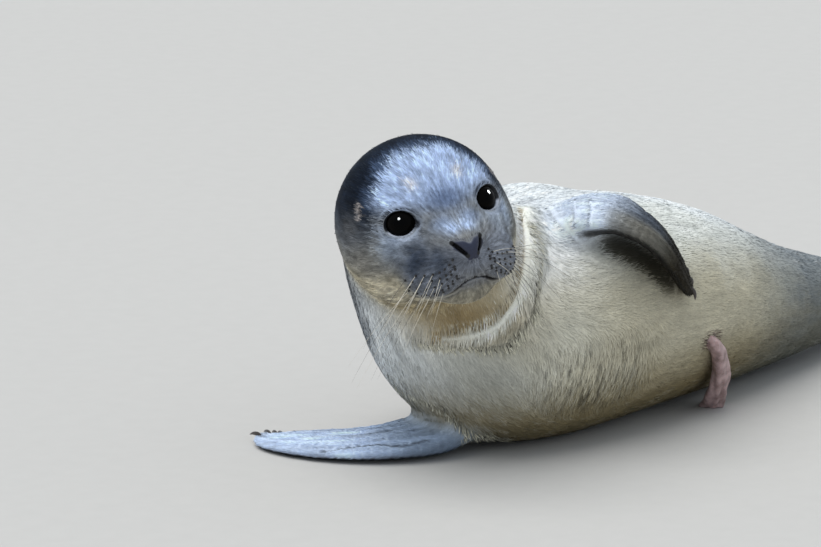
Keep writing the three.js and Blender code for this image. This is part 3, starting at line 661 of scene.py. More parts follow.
    h = mix(h, (46, 50, 60), 0.7 * ss(13.0, 11.8, rho) * ss(10.6, 11.4, rho) * ring * ss(1, 6, y))
    # painted reflection: a pale wet line inside the lower lid
    h = mix(h, (196, 205, 222), 0.9 * ss(9.8, 9.4, rho) * ss(-3.0, -5.5, y) * ring)
    inner = EYE_C + (EYE_R + 1.0) * (LOOK * math.cos(0.74) + EYE_S * math.sin(0.74))
    di = np.linalg.norm(q - (inner + 2.6 * EYE_S - 1.8 * EYE_U), axis=1)
    h = mix(h, (30, 32, 38), 0.85 * ss(4.2, 2.0, di))
    for fd, ud, r, k in DOTS if dots else ():
        m = (np.abs(F - fd) < 2.5) & (np.abs(U - ud) < 2.5) & (L > 7) & (F > 40)
        if m.any():
            dd = (F[m] - fd) ** 2 + (U[m] - ud) ** 2
            h[m] = mix(h[m], (24, 24, 30), 0.75 * np.exp(-dd / 0.7))
    h = mix(h, (35, 40, 60), 0.95 * pad_mask(q))
    dn, _ = near_line(q, NOSTRIL)
    h = mix(h, (10, 10, 12), ss(2.2, 1.0, dn))
    de, _ = near_line(q, EAR)
    h = mix(h, (196, 186, 180), 0.75 * ss(4.4, 2.6, de))
    h = mix(h, (16, 16, 20), ss(2.2, 1.0, de))
    h *= (0.90 + 0.2 * n2)[:, None]
    c *= (0.95 + 0.10 * n2)[:, None]
    c = c * (1 - w[:, 1:2]) + h * w[:, 1:2]
    # painted shade: the hair in the armpit and under the near flipper is darkened as if in the flipper's shadow
    painted_shade_pit, _ = near_line(P, [(70, -48, 150), (88, -58, 146), (104, -64, 134), (116, -66, 120)])
    c = mix(c, (62, 58, 46), 0.8 * ss(17, 6, painted_shade_pit) * w[:, 0])
    # flippers
    for k, limb in enumerate(LIMBS):
        m = np.flatnonzero(w[:, 2 + k] > 0.02)
        if not len(m):
            continue
        t, x, y, i = limb.local(P[m])
        along = t / limb.arc[-1]
        nm = len(m)
        streak = fbm(np.stack([t / 26, x * limb.R[i, 1] / 3.2, y * 0], 1), 61 + k)
        if k == 0:
            g = np.tile((84.0, 92.0, 104.0), (nm, 1))
            # the root half is paler: silvery blue skin with a painted highlight along it
            g = mix(g, (220, 232, 250), ss(0.58, 0.36, along))
            g = mix(g, (118, 114, 102), 0.8 * ss(0.2, 0.8, x) * ss(0.35, 0.55, along))
            g = mix(g, (31, 26, 14), 0.92 * ss(0.58, 0.78, along))
            g = mix(g, (62, 68, 76), 0.6 * ss(-0.5, -0.9, x) * ss(0.35, 0.5, along))
            # painted shade: darker where the surface faces down, on the palm side under the flipper
            g = mix(g, (40, 40, 40), 0.8 * ss(-0.35, -0.8, N[m, 2]))
        elif k == 1:
            # silvery blue skin, made paler still as painted light to offset the head's shadow on it
            g = np.tile((200.0, 217.0, 243.0), (nm, 1))
            g = mix(g, (140, 158, 182), 0.85 * ss(0.60, 0.32, along))
            # painted shade: darker where the surface faces down
            g = mix(g, (92, 98, 108), ss(-0.75, -0.97, N[m, 2]))
            g = mix(g, (92, 98, 108), 0.35 * ss(0.92, 1.0, along))
        else:
            # dark grey where the surface faces down and blue-grey where it faces up: painted shade and light by facing
            g = mix(np.tile((66.0, 66.0, 64.0), (nm, 1)), (140, 154, 174), ss(-0.6, 0.1, N[m, 2]))
            g = mix(g, (84, 80, 74), 0.5 * ss(0.86, 1.0, along))
        g = g * (0.80 + 0.40 * streak)[:, None]
        if k < 2:
            # painted shade along the creases
            for line, wide, deep in CREASES[:8]:
                dl, _ = near_line(P[m], catmull(line, 3))
                g = mix(g, (58, 64, 74), 0.55 * ss(1.8, 0.4, dl))
        c[m] = mix(c[m], g, w[m, 2 + k])
    dn = np.linalg.norm((P - NAVEL) / (9, 9, 7), axis=1)
    c = mix(c, (78, 64, 60), 0.85 * ss(1.35, 0.85, dn))      # wet dark hair round the root of the cord
    return np.clip(c, 4, 250)


def linear(c):
    c = np.clip(c / 255.0, 0, 1)
    return np.where(c < 0.04045, c / 12.92, ((c + 0.055) / 1.055) ** 2.4)


# ------------------------------------------------------------------ Blender meshes and materials
def make(name, V, T, colour=None, uv=None, smooth=True, extra=None, normals=None):
    V, T = np.asarray(V, np.float32), np.asarray(T, np.int32)
    me = bpy.data.meshes.new(name)
    me.vertices.add(len(V))
    me.vertices.foreach_set("co", V.ravel())
    me.loops.add(T.size)
    me.loops.foreach_set("vertex_index", T.ravel())
    me.polygons.add(len(T))
    me.polygons.foreach_set("loop_start", np.arange(0, T.size, 3, dtype=np.int32))
    me.update(calc_edges=True)
    me.validate()
    if smooth:
        me.shade_smooth()
    if colour is not None:
        a = me.color_attributes.new(name="Marks", type="FLOAT_COLOR", domain="POINT")
        a.data.foreach_set("color", np.concatenate([colour, np.ones((len(V), 1))], 1).astype(np.float32).ravel())
    for k, v in (extra or {}).items():
        if v.ndim == 1:
            me.attributes.new(name=k, type="FLOAT", domain="POINT").data.foreach_set("value", v.astype(np.float32))
        else:
            me.attributes.new(name=k, type="FLOAT_VECTOR", domain="POINT").data.foreach_set("vector", v.astype(np.float32).ravel())
    if uv is not None:
        layer = me.uv_layers.new(name="OFBake")
        layer.data.foreach_set("uv", uv[T.ravel()].astype(np.float32).ravel())
    if normals is not None:
        me.normals_split_custom_set_from_vertices(normals.astype(np.float32))
    ob = bpy.data.objects.new(name, me)
    bpy.context.scene.collection.objects.link(ob)
    return ob


class Nodes:
    def __init__(self, name):
        self.mat = bpy.data.materials.new(name)
        self.mat.use_nodes = True
        self.t = self.mat.node_tree
        self.t.nodes.clear()
        self.out = self.t.nodes.new("ShaderNodeOutputMaterial")
        self.bsdf = self.t.nodes.new("ShaderNodeBsdfPrincipled")
        self.t.links.new(self.bsdf.outputs[0], self.out.inputs[0])

    def new(self, kind, **sockets):
        n = self.t.nodes.new(kind)
        for k, v in sockets.items():
            if k in ("operation", "blend_type", "data_type", "attribute_name", "noise_dimensions", "feature", "distance"):
                setattr(n, k, v)
        for k, v in sockets.items():
            if k not in ("operation", "blend_type", "data_type", "attribute_name", "noise_dimensions", "feature", "distance"):
                s = n.inputs[int(k[1:])] if k[0] == "i" and k[1:].isdigit() else n.inputs[k.replace("_", " ")]
                if isinstance(v, bpy.types.NodeSocket):
                    self.t.links.new(v, s)
                else:
                    s.default_value = v
        return n

    def set(self, **sockets):
        for k, v in sockets.items():
            s = self.bsdf.inputs[k.replace("_", " ")]
            if isinstance(v, bpy.types.NodeSocket):
                self.t.links.new(v, s)
            else:
                s.default_value = v

    def attribute(self, name):
        return self.new("ShaderNodeAttribute", attribute_name=name)

    def math(self, op, a, b=0.0, c=0.0):
        return self.new("ShaderNodeMath", operation=op, i0=a, i1=b, i2=c).outputs[0]

    def noise(self, vec, scale, detail=3.0, rough=0.55):
        return self.new("ShaderNodeTexNoise", Vector=vec, Scale=scale, Detail=detail, Roughness=rough).outputs["Fac"]

    def shade(self, colour, fac, lo, hi):
        """colour times a value from lo to hi by fac."""
        v = self.new("ShaderNodeMapRange", Value=fac, To_Min=lo, To_Max=hi).outputs[0]
        m = self.new("ShaderNodeMix", data_type="RGBA", blend_type="MULTIPLY")
        m.inputs[0].default_value = 1.0
        self.t.links.new(colour, m.inputs[6])
        c = self.new("ShaderNodeCombineColor", i0=v, i1=v, i2=v).outputs[0]
        self.t.links.new(c, m.inputs[7])
        return m.outputs[2]


def skin_material():
    n = Nodes("seal_skin")
    col = n.attribute("Marks").outputs["Color"]
    lay = n.attribute("Lay").outputs["Vector"]
    wet = n.attribute("Wet").outputs["Fac"]
    place = n.new("ShaderNodeTexCoord").outputs["Object"]
    streak = n.noise(lay, 1.0, 4.0, 0.6)
    pore = n.noise(place, 900.0, 2.0, 0.5)
    col = n.shade(col, streak, 0.72, 1.22)
    n.set(Base_Color=n.shade(col, pore, 0.9, 1.1))
    rough = n.new("ShaderNodeMapRange", Value=wet, To_Min=0.62, To_Max=0.26).outputs[0]
    n.set(Roughness=n.math("ADD", rough, n.math("MULTIPLY", pore, 0.12)))
    leather = n.new("ShaderNodeTexVoronoi", Vector=place, Scale=750.0).outputs["Distance"]
    bare = n.math("MULTIPLY", leather, wet)
    height = n.math("ADD", n.math("MULTIPLY", streak, n.math("SUBTRACT", 1.0, wet)), n.math("MULTIPLY", bare, 0.9))
    bump = n.new("ShaderNodeBump", Strength=0.5, Distance=0.0006, Height=height)
    n.set(Normal=bump.outputs[0], Specular_IOR_Level=0.45, IOR=1.45)
    return n.mat


def coat_material(name, rough=0.5):
    n = Nodes(name)
    col = n.attribute("Marks").outputs["Color"]
    place = n.new("ShaderNodeTexCoord").outputs["Object"]
    tone = n.noise(place, 420.0, 3.0, 0.6)
    n.set(Base_Color=n.shade(col, tone, 0.92, 1.08))
    n.set(Roughness=n.new("ShaderNodeMapRange", Value=tone, To_Min=rough - 0.08, To_Max=rough + 0.14).outputs[0])
    n.set(Specular_IOR_Level=0.06, IOR=1.45)
    return n.mat


# ------------------------------------------------------------------ the skin
H0 = 3.8
V, Q = surface(H0)
T = triangles(V, Q)
V = settle(V, 3)


def centre(V, T):
    return (V[T[:, 0]] + V[T[:, 1]] + V[T[:, 2]]) / 3


c = centre(V, T)
q = headlocal(c)
parts = evaluate(c)[2]
limb = parts[:, 2:].min(1) < parts[:, :2].min(1) + 1
headish = (parts[:, 1] < parts[:, 0] + 3) & (q[:, 0] > -5)
d_fold, _ = near_line(c, FOLD_IN)
n0 = len(V)
V, T = refine(V, T, limb | headish | (d_fold < 9))
V[n0:] = settle(V[n0:], 2)
c = centre(V, T)
m = mirrored(c)
face = (m[:, 0] > 30) & (evaluate(c)[2][:, 1] < 6) & (m[:, 2] > -62)
n0 = len(V)
V, T = refine(V, T, face)
V[n0:] = settle(V[n0:], 2)
c = centre(V, T)
m = mirrored(c)
x, y, z = eye_axes(m)
rho = np.sqrt((x / 1.25) ** 2 + y ** 2)
fine = ((rho > 7) & (rho < 14) & (z > 0)) | (near_line(m, NOSTRIL)[0] < 3.2) | (near_line(m, MOUTH)[0] < 2.4) | (near_line(m, PHILTRUM)[0] < 2)
fine &= m[:, 0] > 30
n0 = len(V)
V, T = refine(V, T, fine)
V[n0:] = settle(V[n0:], 2)
_, N, parts = evaluate(V)
N = unit(N)
W7 = np.exp(-(parts - parts.min(1)[:, None]) / 4.0)
W7 /= W7.sum(1)[:, None]
q = mirrored(V)
face_w = ss(20, 50, q[:, 0]) * ss(0.3, 0.7, W7[:, 1])
limb_w = W7[:, 2:].sum(1)
depth = 1.6 * (1 - limb_w) * (1 - face_w) + 0.75 * face_w + 0.5 * limb_w
V0 = V.copy()
move = features(V, q, N, (W7[:, 1] > 0.3).astype(float))
digits = np.zeros(len(V))
for k, L in enumerate(LIMBS[:4]):
    m = np.flatnonzero(W7[:, 2 + k] > 0.3)
    t, x, y, i = L.local(V[m])
    a = t / L.arc[-1]
    if k < 2:
        lanes = 0.5 * x + 0.5 + 0.12 * (1 - a)
        ridge = np.cos(2 * math.pi * (lanes * 4.6 - 0.1))
        amp = 0.9 * ss(0.35, 0.7, a)
    else:
        ridge = np.cos(2 * math.pi * (x * 0.5 * 4.3))
        amp = 1.0 * ss(0.45, 0.7, a)
    cross_ = fbm(np.stack([t / 5.0, x * 1.5, y * 0.3], 1), 71 + k) - 0.5
    digits[m] = (amp * ridge * ss(1.0, 0.8, np.abs(x)) * np.minimum(1, L.R[i, 2] / 5.0) * 0.7 + 0.9 * cross_ * ss(0.1, 0.4, a)) * W7[m, 2 + k]
move += digits
V = V + N * (move - depth)[:, None]
V[:, 2] = np.maximum(V[:, 2], 0.35)
S, TH, TAN = body_angle(V0)
skin_marks_and_painted_light = linear(paint(V0, W7, S, TH, N))


def lay_of(P, N, w, tan, q):
    """The way the hair lies: from the nose back over the head, along the body to the tail, and out along the flippers."""
    D = -tan * w[:, 0:1]
    away = (q * np.array([1, 1, 1.0]) - np.array([92.0, 0, -12.0])) @ HAX
    D = D + unit(away) * w[:, 1:2]
    for k, L in enumerate(LIMBS):
        m = np.flatnonzero(w[:, 2 + k] > 0.02)
        if len(m):
            i = L.nearest(P[m])
            D[m] += unit(L.T[i] - 0.25 * L.W[i]) * w[m, 2 + k, None]
    D = D - N * (D * N).sum(1)[:, None]
    return unit(D)


def streaks(P, w, s, th, q):
    """Coordinates stretched along the lie of the coat."""
    i = TRUNK.nearest(P)
    v = P - TRUNK.C[i]
    a = np.stack([s / 16.0, (v * TRUNK.W[i]).sum(1) / 1.1, (v * TRUNK.N[i]).sum(1) / 1.1], 1)
    v = q - np.array([92.0, 0, -12.0])
    r = np.linalg.norm(v, axis=1)
    b = np.stack([r / 9.0, np.arctan2(v[:, 1], v[:, 2]) * r / 0.9 * 0.6, v[:, 1] / 6.0 + 40], 1)
    out = np.where((w[:, 1] > 0.5)[:, None], b, a)
    for k, L in enumerate(LIMBS):
        m = np.flatnonzero(w[:, 2 + k] > 0.5)
        if len(m):
            t, x, y, i = L.local(P[m])
            out[m] = np.stack([t / 9.0, x * L.R[i, 1] / 0.9, y * 2], 1)
    return out


wet = np.maximum(pad_mask(q), 0.7 * ss(2.6, 1.0, near_line(q, MOUTH)[0]))
ex, ey, ez = eye_axes(q)
er = np.sqrt((ex / 1.25) ** 2 + ey ** 2)
wet = np.maximum(wet, 0.8 * ss(10.4, 9.4, er) * ss(0, 5, ez)) * (W7[:, 1] > 0.3)
lay = streaks(V0, W7, S, TH, headlocal(V0))
skin = make("seal_skin", row(V), T, skin_marks_and_painted_light, extra={"Wet": wet, "Lay": lay})
skin.data.materials.append(skin_material())
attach(skin, "root")
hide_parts("head", "muzzle", "neck", "chest", "belly", "rump", "tail",
            "foreflipper_left", "foreflipper_right", "hindflipper_left", "hindflipper_right")
print("skin triangles", len(T))

# ------------------------------------------------------------------ the coat
tri_n = unit(np.cross(V[T[:, 1]] - V[T[:, 0]], V[T[:, 2]] - V[T[:, 0]]))
area = 0.5 * np.linalg.norm(np.cross(V[T[:, 1]] - V[T[:, 0]], V[T[:, 2]] - V[T[:, 0]]), axis=1)
C0 = centre(V0, T)
wc = W7[T].mean(1)
qc = mirrored(C0)
xe, ye, ze = eye_axes(qc)
bare = (np.sqrt((xe / 1.25) ** 2 + ye ** 2) < 9.8) & (ze > 0)
bare |= pad_mask(qc) > 0.3
bare |= near_line(qc, NOSTRIL)[0] < 2.2
bare |= (near_line(qc, MOUTH)[0] < 2.3) & (qc[:, 0] > 40)
bare |= near_line(qc, EAR)[0] < 2.2
bare &= wc[:, 1] > 0.3
bare |= np.linalg.norm((C0 - NAVEL) / (8, 8, 7), axis=1) < 1
bare |= V[T].min(1)[:, 2] < 0.6          # where the body presses on the floor
limb_c, head_c = wc[:, 2:].sum(1), wc[:, 1]
face_c = ss(25, 55, qc[:, 0]) * head_c
long_ = 8.5 * (1 - limb_c) * (1 - head_c) + 4.2 * limb_c + head_c * (6.5 * (1 - face_c / np.maximum(head_c, 1e-6)) + 3.2 * face_c / np.maximum(head_c, 1e-6))
wide_ = 0.066 * long_ + 0.10
per = (2.6 + 0.6 * head_c) / (long_ * wide_)    # tufts in a square millimetre
want = area * per * ~bare
cum = np.cumsum(want)
COUNT = int(cum[-1])
pick = np.searchsorted(cum, (np.arange(COUNT) + rng.random(COUNT)) / COUNT * cum[-1])
pick = np.minimum(pick, len(T) - 1)
b = rng.random((COUNT, 2))
b[b.sum(1) > 1] = 1 - b[b.sum(1) > 1]
bc = np.stack([1 - b.sum(1), b[:, 0], b[:, 1]], 1)


def at_roots(A):
    return (A[T[pick]] * (bc[:, :, None] if A.ndim > 1 else bc)).sum(1)


root, root0 = at_roots(V), at_roots(V0)
nor = unit(at_roots(N))
w7 = at_roots(W7)
s_, th_, tan_ = body_angle(root0)
ql = headlocal(root0)
qm = ql.copy(); qm[:, 1] = np.abs(qm[:, 1])
length, width = long_[pick], wide_[pick]
away = lay_of(root0, nor, w7, tan_, ql)
side = np.cross(nor, away)
# on the underside of the chest and on the fold the hair hangs down instead
lower = np.exp(-(((root0[:, 0] - 35) / 75) ** 4 + ((root0[:, 2] - 62) / 38) ** 4)) * ss(-30, -50, root0[:, 1]) * (1 - w7[:, 1]) * (1 - w7[:, 2:].sum(1))
fold_d, fold_t = near_line(root0, FOLDC.C[::3])
hang = np.maximum(0.9 * lower, 0.8 * ss(20, 12, fold_d) * (1 - w7[:, 1]))
down = np.array([-0.1, 0.1, -1.0]) - nor * (nor @ np.array([-0.1, 0.1, -1.0]))[:, None]
away = unit(away * (1 - hang)[:, None] + unit(down) * hang[:, None])
side = np.cross(nor, away)
# locks: neighbouring tufts lean together
swirl = 0.30 * (fbm(root0 / 30, 81) - 0.5) + 0.26 * (fbm(root0 / 10, 82) - 0.5) + 0.06 * rng.standard_normal(COUNT)
away = away * np.cos(swirl)[:, None] + side * np.sin(swirl)[:, None]
side = np.cross(nor, away)
length = length * (0.75 + 0.5 * rng.random(COUNT))
for line, reach in ((MOUTH, 6.0), (NOSTRIL, 5.0), (EAR, 6.0)):
    length *= np.where(w7[:, 1] > 0.3, 0.4 + 0.6 * ss(1.5, reach, near_line(qm, line)[0]), 1)
headw, limbw = w7[:, 1], w7[:, 2:].sum(1)
facew = ss(25, 55, ql[:, 0]) * headw
rise = 0.65 * (1 - headw) * (1 - limbw) + 0.40 * limbw + headw * (0.75 - 0.4 * facew)
lift = rise * (0.55 + 0.7 * fbm(root0 / 9, 83)) * (0.8 + 0.4 * rng.random(COUNT))
stray = rng.random(COUNT) < 0.012
lift = np.where(stray, lift * 2.0, lift)
shift = rng.normal(0, 1, COUNT) * (3.5 * headw * (1 - 0.8 * facew) + 4.5 * (1 - headw) * (1 - limbw) * ss(8, 26, fold_d))
shift *= 1 - 0.9 * headw * ss(12, 5, near_line(qm, EAR)[0])
coat_rgb = paint(root0 + away * shift[:, None], w7, s_, th_, nor, dots=False)
streak = fbm(streaks(root0, w7, s_, th_, ql) * np.array([0.55, 0.30, 0.30]), 91, 3)
tone = (0.90 + 0.20 * streak) * (0.965 + 0.07 * rng.random(COUNT))
vq = ql - np.array([92.0, 0, -12.0])
ray = np.stack([np.linalg.norm(vq, axis=1) / 7.0, np.arctan2(vq[:, 1], vq[:, 2]) * 24.0, 0 * s_], 1)
grain = 0.5 * vnoise(root0 / 1.5, 93) + 0.5 * vnoise(ray, 94)
tone = np.where(headw > 0.5, (0.88 + 0.24 * streak) * (0.66 + 0.68 * grain) * (0.92 + 0.16 * rng.random(COUNT)), tone)
# painted shadow: long dark clefts between locks low on the chest and on the fold
cleft_shadow = ss(0.62, 0.74, vnoise(np.stack([root0[:, 0] / 2.0 + 3 * vnoise(root0 / 22, 97), root0[:, 1] / 30, root0[:, 2] / 9], 1), 95))
bright = ss(0.36, 0.26, vnoise(np.stack([root0[:, 0] / 2.0 + 3 * vnoise(root0 / 22, 97), root0[:, 1] / 30, root0[:, 2] / 9], 1), 95))
patchy = ss(0.38, 0.58, vnoise(root0 / 19, 99))
knot = np.exp(-(((root0[:, 0] - 22) / 55) ** 4 + ((root0[:, 2] - 64) / 26) ** 4))
tone *= 1 - lower * knot * (0.6 + 0.4 * patchy) * (0.42 * cleft_shadow - 0.12 * bright)
rib = vnoise(np.stack([fold_t * 260 / 1.9, fold_d / 14, 0 * fold_t], 1), 96)
tone *= 1 + 0.26 * (rib - 0.5) * ss(20, 12, fold_d) * (1 - headw)
coat_rgb = np.clip(coat_rgb * tone[:, None], 3, 252)


def blades(root, nor, away, side, length, width, lift, rgb, uv, bend=None, tip_tone=1.05, root_tone=0.90):
    """Five points and three faces to a tuft, lying along the skin, in metres of the row frame."""
    n = len(root)
    bend = np.zeros(n) if bend is None else bend
    roll = rng.normal(0, 0.28, n)
    over = side * np.cos(roll)[:, None] + nor * np.sin(roll)[:, None]
    l, w, h = length[:, None], width[:, None], lift[:, None]
    a = root - nor * 0.25
    m = root + away * l * 0.45 + nor * h * 0.8 + side * (bend * length)[:, None] * 0.2
    t = root + away * l + nor * h + side * (bend * length)[:, None]
    P = np.stack([a - over * w * 0.38, a + over * w * 0.38, m - over * w * 0.5, m + over * w * 0.5, t], 1)
    P[:, :, 2] = np.maximum(P[:, :, 2], 0.12)
    P = P.reshape(-1, 3)
    k = np.arange(n)[:, None, None] * 5
    F = (np.array([[0, 3, 1], [0, 2, 3], [2, 4, 3]])[None] + k).reshape(-1, 3)
    col = rgb[:, None, :] * np.array([root_tone, root_tone, 1.0, 1.0, tip_tone])[None, :, None]
    patch = np.array([[-1, -1.4], [1, -1.4], [-1, 0], [1, 0], [0, 1.4]]) * 0.00105
    U = uv[:, None, :] + patch[None]
    face = np.cross(away, over)
    face *= np.sign((face * nor).sum(1))[:, None]
    nn = unit(0.9 * nor + 0.1 * face)
    return row(P), F, linear(np.clip(col.reshape(-1, 3), 2, 252)), np.clip(U.reshape(-1, 2), 0.0005, 0.9995), np.repeat(nn, 5, 0)


def spread(x):
    return 0.004 + 0.992 * (x - x.min()) / max(x.max() - x.min(), 1e-6)


# each piece of coat with its own unwrap: along and round the body, the head or the flipper
group = np.full(COUNT, -1)
which = w7.argmax(1)
group[which == 1] = 0
group[(which == 1) & (ql[:, 0] > 34)] = 1
group[(which == 0) & (s_ > 395)] = 2
group[(which == 0) & (s_ <= 395) & (s_ > 262)] = 3
group[(which == 0) & (s_ <= 262)] = 4
group[(which == 2) | (which == 3)] = 5
group[which >= 4] = 6
names = ["coat_head", "coat_face", "coat_neck_chest", "coat_belly_flank", "coat_rump", "coat_foreflippers", "coat_hindflippers"]
coat_mats = {"body": coat_material("seal_coat", 0.5), "flipper": coat_material("seal_coat_flipper", 0.44)}


def unwrap(g, m):
    if g in (0, 1):
        v = ql[m] - np.array([10.0, 0, -14.0]) if g == 0 else ql[m] - np.array([20.0, 0, -14.0])
        ang = np.arctan2(v[:, 1], v[:, 2]) / (2 * math.pi) + 0.5
        lat = np.arccos(np.clip(v[:, 0] / np.linalg.norm(v, axis=1), -1, 1))
        return np.stack([spread(ang), spread(lat)], 1)
    if g in (2, 3, 4):
        return np.stack([spread(s_[m]), spread(th_[m])], 1)
    uv = np.zeros((len(m), 2))
    which_ = which[m]
    kinds = sorted(set(which_))
    for j, k in enumerate(kinds):
        a = np.flatnonzero(which_ == k)
        t, x, y, i = LIMBS[k - 2].local(root0[m[a]])
        ang = np.arctan2(y, x) / (2 * math.pi) + 0.5
        uv[a] = np.stack([spread(t), (j + 0.02 + 0.96 * ang) / len(kinds)], 1)
    return uv


total = 0
for g, name in enumerate(names):
    m = np.flatnonzero(group == g)
    uv = unwrap(g, m)
    halves = int(math.ceil(len(m) * 3 / 195000))
    order = np.argsort(uv[:, 0], kind="stable") if halves > 1 else np.arange(len(m))
    for j, part in enumerate(np.array_split(order, halves)):
        k = m[part]
        u = uv[part].copy()
        if halves > 1:
            u[:, 0] = spread(u[:, 0])
        P, F, col, U, nn = blades(root[k], nor[k], away[k], side[k], length[k], width[k], lift[k], coat_rgb[k], u,
                                  bend=rng.normal(0, 0.10, len(k)))
        ob = make(name if halves == 1 else f"{name}_{j + 1}", P, F, col, U, normals=nn)
        ob.data.materials.append(coat_mats["flipper" if g >= 5 else "body"])
        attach(ob, "root")
        total += len(F)
print("coat triangles", total)

# fringe of longer locks: on the edge of the throat fold, the chest, and over the right flipper's root
def fringe():
    R, Nn, D, Ln, Wd, Lf, Cc, Sv = [], [], [], [], [], [], [], []
    lines = [(FOLD_OUT, 460, 7.0, 0.9, 2.4, (-0.2, -0.35, -1.0)),
             (CREASES[0][0], 120, 7.0, 1.0, 3.0, (-0.5, 0.2, -0.9)),
             ([(-26, 2, 24), (-14, 2, 17), (2, -2, 10)], 130, 11.0, 1.6, 3.2, (0.35, -0.2, -0.9))]
    for line, n, ln, lf, scatter, way in lines:
        L = catmull(line, 8)
        t = rng.random(n) * (len(L) - 1)
        i = t.astype(int)
        P = L[i] * (1 - (t - i))[:, None] + L[np.minimum(i + 1, len(L) - 1)] * (t - i)[:, None]
        P = P + rng.normal(0, scatter, (n, 3))
        P = settle(P, 4)
        _, g, pr = evaluate(P)
        g = unit(g)
        ok = (pr[:, 1] > 1) & (P[:, 2] > 5)
        P, g = P[ok], g[ok]
        n = len(P)
        d = np.tile(np.array(way, float), (n, 1))
        s2, th2, tan2 = body_angle(P)
        d = unit(d) + 0.8 * -tan2
        d = unit(d - g * (d * g).sum(1)[:, None])
        sd = np.cross(g, d)
        a = 0.45 * (fbm(P / 11, 101) - 0.5) * 2 + rng.normal(0, 0.12, n)
        d = d * np.cos(a)[:, None] + sd * np.sin(a)[:, None]
        sd = np.cross(g, d)
        tone = rng.random(n)
        base = np.array([158.0, 156, 142]) + np.outer(tone ** 1.5, (84, 82, 74))
        base[tone < 0.12] *= 0.55
        R.append(P - g * 1.2); Nn.append(g); D.append(d); Sv.append(sd)
        Ln.append(ln * (0.7 + 0.6 * rng.random(n))); Wd.append(np.full(n, 0.62) * (0.7 + 0.6 * rng.random(n)))
        Lf.append(lf * (0.5 + rng.random(n))); Cc.append(base)
    R, Nn, D, Sv, Ln, Wd, Lf, Cc = (np.concatenate(x) for x in (R, Nn, D, Sv, Ln, Wd, Lf, Cc))
    s2, th2, _ = body_angle(R)
    uv = np.stack([spread(s2), spread(th2)], 1)
    P, F, col, U, nn = blades(R, Nn, D, Sv, Ln, Wd, Lf, Cc, uv, bend=rng.normal(0, 0.15, len(R)), tip_tone=1.15, root_tone=0.78)
    ob = make("coat_fringe", P, F, col, U, normals=nn)
    ob.data.materials.append(coat_mats["body"])
    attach(ob, "root")


fringe()


# ------------------------------------------------------------------ eyes
def eye(side_, name):
    c = HC + HAX.T @ (EYE_C * np.array([1, side_, 1]))
    d = unit(HAX.T @ (LOOK * np.array([1, side_, 1])))
    up = unit(HU - d * (HU @ d))
    w = np.cross(up, d)
    nu, nv = 56, 40
    P, F = [], []
    for i in range(nv + 1):
        a = math.pi * i / nv
        r = EYE_R + 0.55 * math.exp(-(a / 0.5) ** 2)
        for j in range(nu):
            b = 2 * math.pi * j / nu
            P.append(c + r * (d * math.cos(a) + (w * math.cos(b) + up * math.sin(b)) * math.sin(a)))
    for i in range(nv):
        for j in range(nu):
            k, l = i * nu + j, i * nu + (j + 1) % nu
            if i > 0:
                F.append((k, k + nu, l))
            if i < nv - 1:
                F.append((l, k + nu, l + nu))
    P = np.array(P)
    a = np.degrees(np.arccos(np.clip(((P - c) @ d) / np.linalg.norm(P - c, axis=1), -1, 1)))
    P2, F2 = P, np.array(F)
    # the poles: one point each
    F2 = np.where(F2 < nu, 0, F2)
    F2 = np.where(F2 >= nv * nu, nv * nu, F2)
    F2 = F2[(F2[:, 0] != F2[:, 1]) & (F2[:, 1] != F2[:, 2]) & (F2[:, 0] != F2[:, 2])]
    used = np.unique(F2)
    back_ = np.full(len(P2), -1); back_[used] = np.arange(len(used))
    ob = make(name + "_ball", row(P2[used]), back_[F2], extra={"Look": a[used] / 90.0})
    ob.data.materials.append(eye_mat)
    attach(ob, "root")
    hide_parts(name)


n = Nodes("seal_eye")
look = n.attribute("Look").outputs["Fac"]
place = n.new("ShaderNodeTexCoord").outputs["Object"]
fib = n.noise(place, 700.0, 3.0, 0.6)
ramp = n.new("ShaderNodeValToRGB", Fac=n.math("ADD", look, n.math("MULTIPLY", fib, 0.04)))
el = ramp.color_ramp.elements
el[0].position, el[0].color = 0.20, (0.0010, 0.0010, 0.0011, 1)
el[1].position, el[1].color = 0.30, (0.0018, 0.0015, 0.0014, 1)
e2 = el.new(0.62); e2.color = (0.0016, 0.0014, 0.0014, 1)
e3 = el.new(0.72); e3.color = (0.030, 0.024, 0.022, 1)
n.set(Base_Color=ramp.outputs[0], Roughness=n.new("ShaderNodeMapRange", Value=fib, To_Min=0.02, To_Max=0.05).outputs[0],
      Specular_IOR_Level=0.5, IOR=1.12)
eye_mat = n.mat
for s in (1, -1):
    eye(s, "eye_left" if s > 0 else "eye_right")


# ------------------------------------------------------------------ lofts: claws, whiskers, navel stump
def loft(C, R1, R2, W, sides, close=True):
    """Tube along C with half widths R1, R2 on W and the axis across it; returns points and triangles."""
    C = np.asarray(C, float)
    T_, W_, N_ = frames(C, np.asarray(W, float))
    n = len(C)
    P = []
    for i in range(n):
        for k in range(sides):
            a = 2 * math.pi * k / sides
            P.append(C[i] + W_[i] * R1[i] * math.cos(a) + N_[i] * R2[i] * math.sin(a))
    F = []
    for i in range(n - 1):
        for k in range(sides):
            a, b_ = i * sides + k, i * sides + (k + 1) % sides
            F += [(a, b_, b_ + sides), (a, b_ + sides, a + sides)]
    P.append(C[0]); P.append(C[-1])
    for k in range(sides):
        F.append((len(P) - 2, (k + 1) % sides, k))
        F.append((len(P) - 1, (n - 1) * sides + k, (n - 1) * sides + (k + 1) % sides))
    return np.array(P), np.array(F)


def frames_of(rows, n):
    q_ = catmull(rows, n)
    T_, W_, N_ = frames(q_[:, :3], q_[:, 5:8])
    return q_, T_, W_, N_


